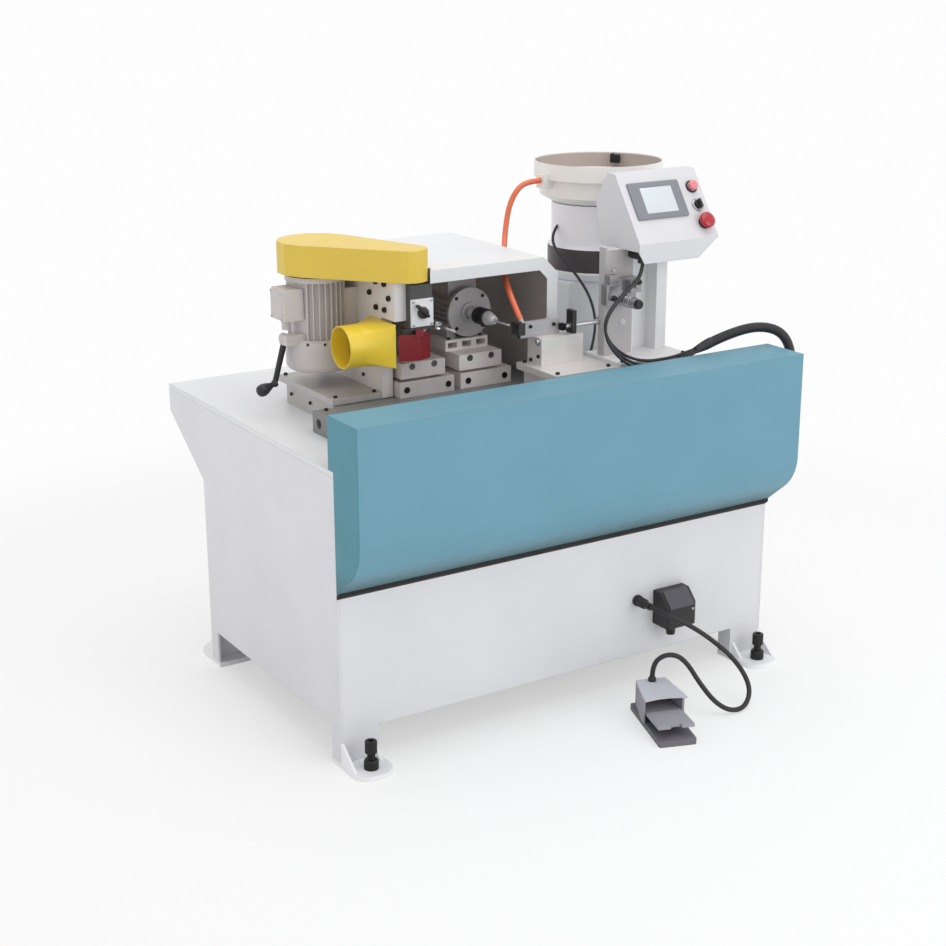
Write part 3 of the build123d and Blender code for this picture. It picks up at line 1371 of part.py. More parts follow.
# Export, moved to the machine's own origin
os.makedirs("parts", exist_ok=True)
to_origin = Pos(-origin_from_left, -origin_from_front, 0)
for name, body in nodes.items():
    pieces = body if isinstance(body, list) else [body]
    solids = []
    for piece in pieces:
        solids.extend((to_origin * piece).solids())
    shape = solids[0] if len(solids) == 1 else Compound(children=solids)
    shape.label = name
    export_step(shape, os.path.join("parts", name + ".step"))
print(len(nodes), "nodes")
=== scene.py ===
import bpy
import bmesh
import math
from mathutils import Matrix, Vector


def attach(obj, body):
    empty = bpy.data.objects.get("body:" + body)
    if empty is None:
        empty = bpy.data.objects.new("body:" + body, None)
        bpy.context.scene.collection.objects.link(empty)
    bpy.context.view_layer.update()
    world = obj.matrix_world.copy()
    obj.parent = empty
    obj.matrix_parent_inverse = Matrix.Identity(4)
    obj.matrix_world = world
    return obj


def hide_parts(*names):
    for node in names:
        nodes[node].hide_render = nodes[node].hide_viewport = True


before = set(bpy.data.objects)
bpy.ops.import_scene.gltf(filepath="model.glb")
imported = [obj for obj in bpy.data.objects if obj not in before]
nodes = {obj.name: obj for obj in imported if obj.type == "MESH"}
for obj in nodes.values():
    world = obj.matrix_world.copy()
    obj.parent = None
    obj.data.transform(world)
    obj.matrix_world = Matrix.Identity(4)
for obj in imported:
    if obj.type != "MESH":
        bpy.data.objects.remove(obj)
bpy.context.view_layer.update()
scene = bpy.context.scene

# The machine's middle, in millimetres from the cabinet's left side and front face
middle_x, middle_y = 647, 285


def at(x, y, z):
    # millimetres from the cabinet's left side, its front face and the floor, as metres in the machine's frame
    return Vector(((x - middle_x) / 1000, (y - middle_y) / 1000, z / 1000))


def rgb(r, g, b):
    # a screen colour from 0 to 255 as linear light
    channels = [c / 255 for c in (r, g, b)]
    return tuple(c / 12.92 if c <= 0.04045 else ((c + 0.055) / 1.055) ** 2.4 for c in channels) + (1.0,)


def added(name, data):
    made = bpy.data.objects.new(name, data)
    scene.collection.objects.link(made)
    return made


# Camera at the photograph's viewpoint
yaw, pitch, roll = 0.560986, 0.305929, -0.002645
lens, sensor, distance = 64.441, 36.0, 4.04538
aim = at(477.3, 200, 564.5)
back = Vector((-math.sin(yaw) * math.cos(pitch), -math.cos(yaw) * math.cos(pitch), math.sin(pitch)))
side = (-back).cross(Vector((0, 0, 1))).normalized()
rise = side.cross(-back)
cam_x = side * math.cos(roll) + rise * math.sin(roll)
cam_y = rise * math.cos(roll) - side * math.sin(roll)
cam_turn = Matrix((cam_x, cam_y, back)).transposed().to_4x4()
camera = added("camera", bpy.data.cameras.new("camera"))
camera.data.lens = lens
camera.data.sensor_width = sensor
camera.matrix_world = Matrix.Translation(aim + back * distance) @ cam_turn
scene.camera = camera
scene.view_settings.view_transform = "Standard"


# Node trees, and joining their nodes
def new_tree(name, kind, inputs, outputs):
    tree = bpy.data.node_groups.new(name, kind)
    for way, sockets in (("INPUT", inputs), ("OUTPUT", outputs)):
        for label, sort in sockets.items():
            tree.interface.new_socket(name=label, in_out=way, socket_type="NodeSocket" + sort)
    return tree, tree.nodes.new("NodeGroupInput").outputs, tree.nodes.new("NodeGroupOutput").inputs


def join(tree, socket, value):
    # one socket linked to another node's output, or set to a value
    if isinstance(value, bpy.types.NodeSocket):
        tree.links.new(value, socket)
    else:
        socket.default_value = value


def feed(tree, inputs, **values):
    for label, value in values.items():
        join(tree, inputs[label.replace("_", " ")], value)


def step(tree, kind, settings=None, **values):
    # a new node with its settings made and the named sockets fed
    node = tree.nodes.new(kind)
    for label, value in (settings or {}).items():
        setattr(node, label, value)
    feed(tree, node.inputs, **values)
    return node


def object_place(tree):
    return tree.nodes.new("ShaderNodeTexCoord").outputs["Object"]


def noise(tree, vector, scale, detail):
    return step(tree, "ShaderNodeTexNoise", Vector=vector, Scale=scale, Detail=detail).outputs["Fac"]


def math_node(tree, operation, a, b):
    node = step(tree, "ShaderNodeMath", {"operation": operation})
    join(tree, node.inputs[0], a)
    join(tree, node.inputs[1], b)
    return node.outputs[0]


def spread(tree, value, low, high):
    # the middle part of a noise, stretched to run from low to high
    node = step(tree, "ShaderNodeMapRange", Value=value, From_Min=0.3, From_Max=0.7, To_Min=low, To_Max=high)
    return node.outputs["Result"]


def mix_colour(tree, factor, a, b):
    # the mix node's colour sockets are known by number, because other kinds share their names
    node = step(tree, "ShaderNodeMix", {"data_type": "RGBA"})
    for number, value in ((0, factor), (6, a), (7, b)):
        join(tree, node.inputs[number], value)
    return node.outputs[2]


def mix_shader(tree, factor, first, second, end):
    node = tree.nodes.new("ShaderNodeMixShader")
    for socket, value in zip(node.inputs, (factor, first, second)):
        join(tree, socket, value)
    feed(tree, end.inputs, Surface=node.outputs[0])


def shaded(tree, colour, amount, marks):
    # the colour made lighter and darker by the marks
    low = math_node(tree, "SUBTRACT", 1.0, amount)
    high = math_node(tree, "ADD", 1.0, amount)
    factor = spread(tree, marks, low, high)
    return step(tree, "ShaderNodeVectorMath", {"operation": "SCALE"}, Vector=colour, Scale=factor).outputs[0]


# Shader groups shared by the finishes
def new_group(name, inputs, **outputs):
    return new_tree(name, "ShaderNodeTree", inputs, outputs)


def make_sprayed_paint():
    inputs = dict(Color="Color", Roughness="Float", Peel="Float", Variation="Float")
    group, given, out = new_group("sprayed_paint", inputs, Color="Color", Roughness="Float", Height="Float")
    place = object_place(group)
    broad = noise(group, place, scale=5.0, detail=3.0)
    fine = noise(group, place, scale=given["Peel"], detail=2.0)
    smear = noise(group, place, scale=38.0, detail=4.0)
    colour = shaded(group, given["Color"], given["Variation"], broad)
    rough = math_node(group, "ADD", given["Roughness"], spread(group, smear, low=-0.05, high=0.06))
    feed(group, out, Color=colour, Roughness=rough, Height=fine)
    return group


def make_ground_metal():
    inputs = dict(Color="Color", Roughness="Float", Lines="Vector", Variation="Float")
    group, given, out = new_group("ground_metal", inputs, Color="Color", Roughness="Float", Height="Float")
    place = object_place(group)
    stretch = step(group, "ShaderNodeMapping", Vector=place, Scale=given["Lines"])
    lines = noise(group, stretch.outputs["Vector"], scale=1.0, detail=3.0)
    stain = noise(group, place, scale=24.0, detail=4.0)
    colour = shaded(group, given["Color"], given["Variation"], lines)
    colour = shaded(group, colour, given["Variation"], stain)
    line_rough = spread(group, lines, low=-0.07, high=0.07)
    stain_rough = spread(group, stain, low=-0.04, high=0.08)
    rough = math_node(group, "ADD", given["Roughness"], math_node(group, "ADD", line_rough, stain_rough))
    feed(group, out, Color=colour, Roughness=rough, Height=lines)
    return group


def make_rubbed_edge():
    inputs = dict(Color="Color", Bare="Color", Radius="Float", Amount="Float")
    group, given, out = new_group("rubbed_edge", inputs, Color="Color", Normal="Vector")
    sharpness = 6.0
    bevel = step(group, "ShaderNodeBevel", {"samples": 4}, Radius=given["Radius"])
    flat = group.nodes.new("ShaderNodeNewGeometry")
    dot = step(group, "ShaderNodeVectorMath", {"operation": "DOT_PRODUCT"})
    join(group, dot.inputs[0], bevel.outputs["Normal"])
    join(group, dot.inputs[1], flat.outputs["Normal"])
    bend = math_node(group, "SUBTRACT", 1.0, dot.outputs["Value"])
    bend = math_node(group, "MINIMUM", math_node(group, "MULTIPLY", bend, sharpness), 1.0)
    patch = spread(group, noise(group, object_place(group), scale=60.0, detail=4.0), low=0.15, high=1.0)
    mask = math_node(group, "MULTIPLY", math_node(group, "MULTIPLY", bend, patch), given["Amount"])
    colour = mix_colour(group, mask, given["Color"], given["Bare"])
    feed(group, out, Color=colour, Normal=bevel.outputs["Normal"])
    return group


def make_zone():
    group, given, out = new_group("zone", dict(Low="Vector", High="Vector"), Mask="Float")
    place, low, high = [
        step(group, "ShaderNodeSeparateXYZ", Vector=source).outputs
        for source in (object_place(group), given["Low"], given["High"])
    ]
    masks = []
    for axis in range(3):
        above = math_node(group, "GREATER_THAN", place[axis], low[axis])
        below = math_node(group, "LESS_THAN", place[axis], high[axis])
        masks.append(math_node(group, "MULTIPLY", above, below))
    first_two = math_node(group, "MULTIPLY", masks[0], masks[1])
    feed(group, out, Mask=math_node(group, "MULTIPLY", first_two, masks[2]))
    return group


def make_settled_dust():
    group, given, out = new_group("settled_dust", dict(Color="Color", Amount="Float"), Color="Color")
    dust_colour = rgb(196, 192, 186)
    flat = group.nodes.new("ShaderNodeNewGeometry")
    split = step(group, "ShaderNodeSeparateXYZ", Vector=flat.outputs["Normal"])
    upward = math_node(group, "MAXIMUM", split.outputs["Z"], 0.0)
    film = spread(group, noise(group, object_place(group), scale=90.0, detail=5.0), low=0.1, high=1.0)
    mask = math_node(group, "MULTIPLY", math_node(group, "MULTIPLY", upward, film), given["Amount"])
    feed(group, out, Color=mix_colour(group, mask, given["Color"], dust_colour))
    return group


# a mask from 1 at the low height to 0 at the high height, used for painted shade towards the bottom
def make_lower_edge():
    group, given, out = new_group("lower_edge", dict(Low="Float", High="Float"), Mask="Float")
    split = step(group, "ShaderNodeSeparateXYZ", Vector=object_place(group))
    fade = step(group, "ShaderNodeMapRange", {"interpolation_type": "SMOOTHSTEP"}, Value=split.outputs["Z"],
                From_Min=given["Low"], From_Max=given["High"], To_Min=1.0, To_Max=0.0)
    feed(group, out, Mask=fade.outputs["Result"])
    return group


sprayed_paint = make_sprayed_paint()
ground_metal = make_ground_metal()
rubbed_edge = make_rubbed_edge()
zone = make_zone()
settled_dust = make_settled_dust()
lower_edge = make_lower_edge()


def placed(tree, group, **values):
    return step(tree, "ShaderNodeGroup", {"node_tree": group}, **values)


def new_material(name):
    material = bpy.data.materials.new(name)
    material.use_nodes = True
    return material, material.node_tree, material.node_tree.nodes["Principled BSDF"]


finishes = {}
coat_rough, relief_depth = 0.12, 0.0006


def finish(name, colour, rough, dresses="", metal=0.0, peel=700.0, bump=0.08, variation=0.03, lines=None,
           bare=None, rub=0.0, edge=0.0012, dust=0.0, coat=0.0, spec=0.5, zones=(), painted_low_shade=None):
    # dresses names solids, zones are boxes of another colour, some the part's own colour and some painted
    # shade, and painted_low_shade is painted shade that darkens the colour towards the bottom between two
    # heights
    material, tree, shader = new_material(name)
    shown = rgb(*colour)
    for low, high, other in zones:
        mask = placed(tree, zone, Low=tuple(at(*low)), High=tuple(at(*high))).outputs["Mask"]
        shown = mix_colour(tree, mask, shown, rgb(*other))
    # painted shade: the colour darkened towards the bottom, up to the high height
    if painted_low_shade:
        low, high, other = painted_low_shade
        mask = placed(tree, lower_edge, Low=low, High=high).outputs["Mask"]
        shown = mix_colour(tree, mask, shown, rgb(*other))
    if lines is None:
        base = placed(tree, sprayed_paint, Color=shown, Roughness=rough, Peel=peel, Variation=variation)
    else:
        base = placed(tree, ground_metal, Color=shown, Roughness=rough, Lines=lines, Variation=variation)
    shown = base.outputs["Color"]
    if dust:
        shown = placed(tree, settled_dust, Color=shown, Amount=dust).outputs["Color"]
    wear = placed(tree, rubbed_edge, Color=shown, Bare=rgb(*(bare or colour)), Radius=edge, Amount=rub)
    relief = step(tree, "ShaderNodeBump", Strength=bump, Distance=relief_depth,
                  Height=base.outputs["Height"], Normal=wear.outputs["Normal"])
    feed(tree, shader.inputs, Base_Color=wear.outputs["Color"], Roughness=base.outputs["Roughness"],
         Normal=relief.outputs["Normal"], Metallic=metal, Specular_IOR_Level=spec, Coat_Weight=coat,
         Coat_Roughness=coat_rough)
    finishes[name] = material
    for node in dresses.split():
        for place in nodes[node].material_slots:
            place.material = material


# What kinds of surface have in common: paint grain, relief, unevenness, edges and the way of grinding lines
steel_bare = (214, 214, 214)
along_x, along_y, round_y = (8, 900, 900), (900, 8, 900), (700, 60, 700)
sheet = dict(peel=520, bump=0.12, bare=(240, 240, 242), rub=0.5, edge=0.003)
textured = dict(peel=900, bump=0.14, rub=0.5, edge=0.002)
cast_skin = dict(peel=900, bump=0.25, variation=0.06, bare=steel_bare)
ground = dict(bump=0.12, variation=0.06, bare=steel_bare)
oxide = dict(peel=1500, bump=0.15, variation=0.15)
rubber = dict(peel=1500, bump=0.25, variation=0.2)
moulded = dict(peel=2200, bump=0.14, variation=0.1)
button = dict(peel=900, bump=0.03, edge=0.0008)
pedal_skin = dict(peel=800, bump=0.3, rub=0.4)
sheath = dict(peel=1800, variation=0.12, edge=0.0004)

# Painted sheet
finish("cabinet_coat", (224, 224, 228), 0.42,
       "cabinet_left_side cabinet_right_side cabinet_front_panel cabinet_rear_panel", **sheet)
finish("table_coat", (228, 229, 232), 0.40, "table_top", dust=0.05, **sheet)
finish("inner_coat", (176, 176, 180), 0.5, "cabinet_floor", peel=520, bump=0.1)
# the teal cover: its left end plate is painted darker as painted shade, and its front is darkened towards the
# bottom as painted shade
finish("cover_coat", (110, 158, 176), 0.5, "splash_cover", peel=620, bump=0.10, bare=(138, 182, 198),
       rub=0.5, edge=0.004, spec=0.25, zones=[((-1, -200, 300), (2.4, 100, 900), (88, 146, 162))],
       painted_low_shade=(0.415, 0.50, (88, 120, 128)))
finish("guard_coat", (226, 194, 72), 0.36, "belt_guard", bare=(250, 230, 150), rub=0.7, edge=0.003)
finish("duct_coat", (240, 208, 62), 0.33, "dust_duct", bare=(250, 232, 150), rub=0.5, edge=0.002)
finish("red_coat", (128, 18, 28), 0.42, "cutter_guard", peel=800, bump=0.1, bare=(176, 84, 90), rub=0.5,
       edge=0.0015)
# painted shade: the inside of the hood and its right wall are painted darker and warmer than the outside
hood_low, hood_inside_shade = (290, 222.9, 700), (202, 196, 194)
finish("hood_coat", (225, 226, 228), 0.45, "motor_hood", peel=520, bump=0.1, bare=(244, 244, 244), rub=0.5,
       edge=0.002, zones=[(hood_low, (690, 642.2, 1057.2), hood_inside_shade),
                          (hood_low, (728.2, 642.2, 1018), hood_inside_shade)])
# painted light: the feet carry the cabinet's paint made lighter, to offset the shade they stand in
finish("foot_coat", (246, 246, 249), 0.45, "foot_brackets", bare=(252, 252, 252), **textured)
finish("box_coat", (212, 212, 216), 0.5, "control_box", bare=(250, 250, 250), **textured,
       zones=[((858, 60.5, 1040), (894, 124, 1077.5), (32, 32, 34))])
# painted shade: the post's recessed left front, behind the air unit, is painted darker
finish("post_coat", (230, 229, 230), 0.45, "control_post", peel=900, bump=0.14, bare=(240, 240, 240),
       rub=0.4, edge=0.0015, zones=[((801, 124, 823), (884, 152, 1085), (182, 178, 178))])
finish("feeder_coat", (220, 222, 226), 0.40, "feeder_pedestal", peel=500, bump=0.12, bare=(240, 240, 240),
       rub=0.4, edge=0.002)
finish("drum_coat", (245, 244, 248), 0.42, "feeder_drum", peel=500, bump=0.1, edge=0.002,
       zones=[((800, 200, 940), (1250, 700, 1031.5), (70, 62, 66))])
finish("bowl_coat", (236, 233, 229), 0.38, "feeder_bowl", metal=0.1, peel=420, bump=0.1, variation=0.05,
       bare=(240, 240, 236), rub=0.6, edge=0.002)
# painted shade: the pedal hood's walls below the roof are painted darker than the roof
finish("pedal_coat", (202, 201, 209), 0.5, "pedal_hood", variation=0.05, bare=(210, 210, 214), edge=0.002,
       zones=[((600, -400, 0), (900, 0, 74.5), (158, 156, 163))], **pedal_skin)
# painted shade: the pedal base is painted darker for the shadow of the treadle over it
finish("pedal_foot_coat", (112, 109, 116), 0.52, "pedal_base", variation=0.06, bare=(176, 175, 180),
       edge=0.002, **pedal_skin)
finish("treadle_coat", (160, 158, 166), 0.5, "pedal_treadle", variation=0.05, bare=(190, 190, 196),
       edge=0.0015, **pedal_skin)

# Castings and ground steel
finish("motor_coat", (202, 196, 194), 0.48, "trim_motor", rub=0.35, dust=0.12, **cast_skin)
finish("drill_coat", (182, 177, 180), 0.46, "tap_motor drill_motor", rub=0.3, dust=0.1, **cast_skin)
finish("housing_coat", (72, 70, 72), 0.5, "spindle_housing", peel=900, bump=0.3, variation=0.1,
       bare=(130, 130, 132), rub=0.4)
finish("column_coat", (224, 219, 218), 0.45, "column_plate", metal=0.05, bump=0.2, variation=0.05,
       bare=steel_bare, rub=0.3)
# painted shade: the bed rail's ground steel is made darker than the trim base's, for the shade on its end
finish("bed_steel", (136, 137, 136), 0.5, "bed_rail", metal=0.3, lines=along_x, rub=0.4, dust=0.1, **ground)
finish("base_steel", (190, 186, 184), 0.46, "trim_base", metal=0.3, lines=along_y, rub=0.4, dust=0.1,
       **ground)
# painted light: a lighter copy of slide_steel on the drill slide, to offset the hood's shade over it
finish("lightened_slide_steel", (240, 233, 231), 0.44, "drill_slide_base drill_slide_table", metal=0.1,
       lines=along_x, rub=0.5, **ground)
finish("slide_steel", (214, 207, 205), 0.44, "tap_slide_base tap_slide_table", metal=0.25, lines=along_x,
       rub=0.5, **ground)
finish("fixture_steel", (216, 212, 210), 0.4, "fixture_base fixture_block", metal=0.25, lines=along_y,
       bump=0.10, variation=0.04, bare=(236, 234, 232), rub=0.6,
       zones=[((706, 120, 887.4), (740, 180, 950), (46, 44, 46))])
finish("turned_steel", (198, 198, 198), 0.26, "cutter_spindle tap_holder drill_bit", metal=0.95,
       lines=round_y, bump=0.06, variation=0.05)
finish("satin_steel", (208, 207, 209), 0.32, metal=0.4, lines=round_y, bump=0.05, variation=0.04)
finish("pusher_finish", (205, 205, 205), 0.25, "pusher_head", metal=0.85, lines=(40, 700, 700),
       bump=0.06, variation=0.05, edge=0.0006, zones=[((640, 100, 860), (702.3, 200, 960), (44, 42, 44))])
finish("jaw_oxide", (176, 173, 176), 0.42, "feed_jaw", metal=0.2, lines=along_x, bump=0.12, variation=0.06,
       edge=0.0008, zones=[((500, 100, 880), (585.2, 180, 960), (48, 47, 46))])
finish("dark_oxide", (44, 43, 44), 0.42, "drill_chuck socket_screws", metal=0.7, bare=(120, 118, 116),
       rub=0.5, edge=0.0006, **oxide)
finish("worn_oxide", (92, 88, 87), 0.42, metal=0.4, bare=(150, 148, 146), rub=0.5, edge=0.0006, **oxide)
finish("foot_oxide", (34, 33, 34), 0.45, "levelling_bolts", metal=0.4, bare=(96, 96, 96), rub=0.6,
       edge=0.001, **oxide)
finish("cast_iron", (92, 92, 94), 0.5, "motor_pulley spindle_pulley", metal=0.6, peel=600, bump=0.3,
       variation=0.12)
finish("cast_aluminium", (152, 151, 154), 0.3, "air_unit pusher_cylinder", metal=0.65, peel=800,
       bump=0.2, variation=0.06, bare=(230, 230, 230), rub=0.5, edge=0.0008)
finish("bright_chrome", (186, 186, 188), 0.2, metal=0.85, peel=900, bump=0.02, edge=0.0006)

# Rubber, plastic and glass
finish("seal_rubber", (26, 25, 26), 0.75, "cover_seal", **rubber)
finish("belt_rubber", (24, 24, 25), 0.7, "drive_belt", **rubber)
finish("lining_rubber", (178, 166, 160), 0.6, peel=300, bump=0.2, variation=0.1, edge=0.0006)
finish("black_plastic", (30, 29, 31), 0.42, "switch_knob regulator_knob mode_selector clamp_lever",
       bare=(70, 70, 72), rub=0.4, **moulded)
finish("jbox_plastic", (32, 30, 33), 0.40, "junction_box", bare=(80, 80, 84), rub=0.5, edge=0.002,
       **moulded, zones=[((884.5, -64, 211), (959.5, -20, 249.5), (82, 81, 88))])
finish("white_plastic", (230, 230, 232), 0.35, "switch_plate", peel=1500, bump=0.06, variation=0.02,
       edge=0.001)
finish("bezel_plastic", (128, 130, 138), 0.38, "hmi_panel", peel=2000, bump=0.12, bare=(170, 172, 178),
       rub=0.4, edge=0.0015)
finish("screen_glass", (206, 214, 220), 0.12, peel=6.0, bump=0.0, variation=0.05, coat=0.6, edge=0.0004)
finish("red_plastic", (172, 26, 42), 0.25, "stop_button", variation=0.04, coat=0.3, **button)
finish("lamp_plastic", (226, 132, 142), 0.24, "start_button", variation=0.06, coat=0.4, **button)
finish("cable_rubber", (38, 36, 38), 0.55, "pedal_cable control_cables", bump=0.2, **sheath)
finish("conduit_plastic", (40, 40, 42), 0.5, "power_conduit", bump=0.15, **sheath)
finish("orange_tube", (224, 108, 70), 0.36, "feed_hose", peel=300, bump=0.04, variation=0.06, coat=0.2,
       edge=0.0004)


# Cords: each route is the part's own, as the control points of one smooth spline
def laid_curve(name, routes, fineness):
    curve = bpy.data.curves.new(name, "CURVE")
    curve.dimensions = "3D"
    curve.resolution_u = fineness
    for points in routes:
        line = curve.splines.new("NURBS")
        line.points.add(len(points) - 1)
        for point, where in zip(line.points, points):
            point.co = (*at(*where), 1.0)
        line.order_u = 3
        line.use_endpoint_u = True
    return curve


def new_cord(name, radius, routes, material, replaces):
    curve = laid_curve(name, routes, fineness=10)
    curve.bevel_depth = radius / 1000
    curve.bevel_resolution = 5
    curve.use_fill_caps = True
    curve.materials.append(finishes[material])
    cord = added(name, curve)
    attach(cord, "machine")
    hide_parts(replaces)
    return cord


pedal_route = [
    (826, -54, 231), (826, -110, 231), (874, -138, 206), (944, -152, 152), (1001, -180, 92), (1012, -222, 38),
    (974, -250, 6), (922, -256, 9), (886, -236, 34), (864, -200, 80), (850, -174, 120), (825.1, -161.5, 145),
    (794.7, -146.3, 145), (773.3, -135.6, 121), (773.3, -135.6, 87),
]
pedal_cord = new_cord("pedal_cord", 6.0, [pedal_route], "cable_rubber", "pedal_cable")

cable_route = [
    (876, 78, 1050), (866, 68, 1020), (810, 53, 993), (754, 46, 950), (740, 42, 910), (757, 38, 870),
    (798, 34, 834), (850, 33.5, 812), (915, 33.5, 808), (980, 34, 820), (1040, 34, 838),
]
feeder_route = [
    (900, 462, 1086.5), (872, 452, 1065.5), (856, 410, 1031.5), (874, 362, 991), (892, 315, 937),
    (884, 272, 885), (858, 240, 843), (824, 212, 807), (816, 206, 780), (816, 206, 750),
]
gap_x, gap_y = 3.8, 6.1
drops = [0, 0, 0, 1, 2, 4, 7, 10, 10, 5, 0]
cable_routes = [
    [(x + gap_x * lane, y + gap_y * lane, z + lane * drop) for (x, y, z), drop in zip(cable_route, drops)]
    for lane in (-1, 0, 1)
]
new_cord("control_leads", 3.5, cable_routes + [feeder_route], "cable_rubber", "control_cables")

conduit_route = [
    (1278, 18, 660), (1278, 14, 705), (1278, -22, 780), (1256, -10, 852), (1195, 16, 873), (1105, 34, 857),
    (1040, 34, 838),
]
new_cord("conduit_tube", 11.2, [conduit_route], "conduit_plastic", "power_conduit")

hose_route = [
    (593.4, 173.4, 929.4), (590.3, 211.6, 978.1), (620, 285, 1014), (705, 416, 1047),
    (732, 450, 1098), (746, 455, 1150), (768, 453, 1188), (798, 452, 1204), (835, 452, 1204),
]
new_cord("parts_hose", 7.0, [hose_route], "orange_tube", "feed_hose")


# Shapes in mm, each added to a mesh at a place on the machine
def seat(origin, out, right=None):
    # a place whose Z runs along out and whose X is near right
    z = Vector(out).normalized()
    x = Vector(right or ((0, 0, 1) if abs(z.z) < 0.9 else (1, 0, 0)))
    x = (x - z * x.dot(z)).normalized()
    turn = Matrix((x, z.cross(x), z)).transposed().to_4x4()
    return Matrix.Translation(at(*origin)) @ turn @ Matrix.Scale(0.001, 4)


def skinned(bm, rings, closed=False):
    # faces from ring to ring, with end caps unless the last ring meets the first
    pairs = list(zip(rings, rings[1:]))
    if closed:
        pairs.append((rings[-1], rings[0]))
    else:
        bm.faces.new(rings[0][::-1])
        bm.faces.new(rings[-1])
    for low, high in pairs:
        for i in range(len(low)):
            j = (i + 1) % len(low)
            bm.faces.new((low[i], low[j], high[j], high[i]))


def round_ring(bm, place, height, segments, reach):
    # a ring of corners, whose distance from the middle depends on each one's number and angle
    ring = []
    for i in range(segments):
        angle = 2 * math.pi * i / segments
        r = reach(i, angle)
        ring.append(bm.verts.new(place @ Vector((r * math.cos(angle), r * math.sin(angle), height))))
    return ring


def turned(bm, place, profile, segments, closed=False):
    # a lathe shape from radii and heights; a third value is a polygon's sides or a knurl's depth under 1
    rings = []
    for radius, height, *form in profile:
        def reach(i, angle):
            if form and form[0] >= 3:
                half = math.pi / form[0]
                return radius * math.cos(half) / math.cos(angle % (2 * half) - half)
            return radius - form[0] * (i % 2) if form else radius

        rings.append(round_ring(bm, place, height, segments, reach))
    skinned(bm, rings, closed)


def hoop(bm, place, profile, segments):
    turned(bm, place, profile, segments, closed=True)


def grooved(bm, place, low, high, slices, segments, reach):
    # a bar whose radius depends on the angle and the height
    rings = []
    for k in range(slices + 1):
        height = low + (high - low) * k / slices
        rings.append(round_ring(bm, place, height, segments, lambda i, angle: reach(angle, height)))
    skinned(bm, rings)


def disc(bm, radius):
    bmesh.ops.create_circle(bm, cap_ends=True, radius=radius, segments=64)


def slab(bm, place, low, high, ease, steps=2):
    # a block between two corners with its edges eased
    size = Vector(high) - Vector(low)
    middle = (Vector(high) + Vector(low)) / 2
    fit = place @ Matrix.Translation(middle) @ Matrix.Diagonal((*size, 1))
    made = bmesh.ops.create_cube(bm, size=1.0, matrix=fit)["verts"]
    edges = list(dict.fromkeys(edge for corner in made for edge in corner.link_edges))
    bmesh.ops.bevel(bm, geom=edges, offset=ease / 1000, segments=steps, profile=0.5, affect="EDGES")


def stacked(bm, place, loops):
    # a solid through rounded rectangles, each given as middle, width, height, corner radius and level
    steps = 5
    quarters = ((1, 1), (-1, 1), (-1, -1), (1, -1))
    rings = []
    for (u, v), width, height, corner, level in loops:
        ring = []
        for quarter, (a, b) in enumerate(quarters):
            for i in range(steps + 1):
                angle = math.pi / 2 * (quarter + i / steps)
                x = u + a * (width / 2 - corner) + corner * math.cos(angle)
                y = v + b * (height / 2 - corner) + corner * math.sin(angle)
                ring.append(bm.verts.new(place @ Vector((x, y, level))))
        rings.append(ring)
    skinned(bm, rings)


# Pieces made of shapes, each shape given as its maker and what that maker is told
def settle(name, mesh, material, body, replaces, sharp):
    mesh.name = name
    mesh.shade_smooth()
    mesh.set_sharp_from_angle(angle=math.radians(sharp))
    mesh.materials.clear()
    mesh.materials.append(finishes[material])
    made = added(name, mesh)
    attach(made, body)
    if replaces:
        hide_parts(*replaces)


def shaped(name, shapes):
    bm = bmesh.new()
    for maker, *told in shapes:
        maker(bm, *told)
    mesh = bpy.data.meshes.new(name)
    bm.to_mesh(mesh)
    bm.free()
    return mesh


def piece(name, material, body, shapes, replaces=(), sharp=32):
    settle(name, shaped(name, shapes), material, body, replaces, sharp)


patterns = []


def pattern(name, *shapes):
    # a shape that a tree repeats, kept only until the pieces are made
    shape = added(name, shaped(name, shapes))
    patterns.append(shape)
    return shape


# Geometry node trees for what repeats or follows a path
def new_grower(name, **inputs):
    return new_tree(name, "GeometryNodeTree", dict(Geometry="Geometry", **inputs, Finish="Material"),
                    dict(Geometry="Geometry"))


def close_tree(tree, given, out, geometry, shift=None):
    # the grown geometry moved, made real and painted
    if shift:
        moved = step(tree, "GeometryNodeTransform", Geometry=geometry, Translation=shift,
                     Rotation=given["Turn"])
        geometry = moved.outputs[0]
    real = step(tree, "GeometryNodeRealizeInstances", Geometry=geometry)
    painted = step(tree, "GeometryNodeSetMaterial", Geometry=real.outputs[0], Material=given["Finish"])
    feed(tree, out, Geometry=painted.outputs[0])
    return tree


def repeated(tree, points, shape, **values):
    return step(tree, "GeometryNodeInstanceOnPoints", Points=points, Instance=shape, **values).outputs[0]


def make_fastener_spread():
    tree, given, out = new_grower("fastener_spread", Fastener="Object", Size="Float")
    shape = step(tree, "GeometryNodeObjectInfo", Object=given["Fastener"]).outputs["Geometry"]
    facing = step(tree, "GeometryNodeInputNamedAttribute", {"data_type": "FLOAT_VECTOR"}, Name="facing")
    turn = step(tree, "FunctionNodeAlignRotationToVector", {"axis": "Z"}, Vector=facing.outputs["Attribute"])
    each = repeated(tree, given["Geometry"], shape, Rotation=turn.outputs["Rotation"], Scale=given["Size"])
    return close_tree(tree, given, out, each)


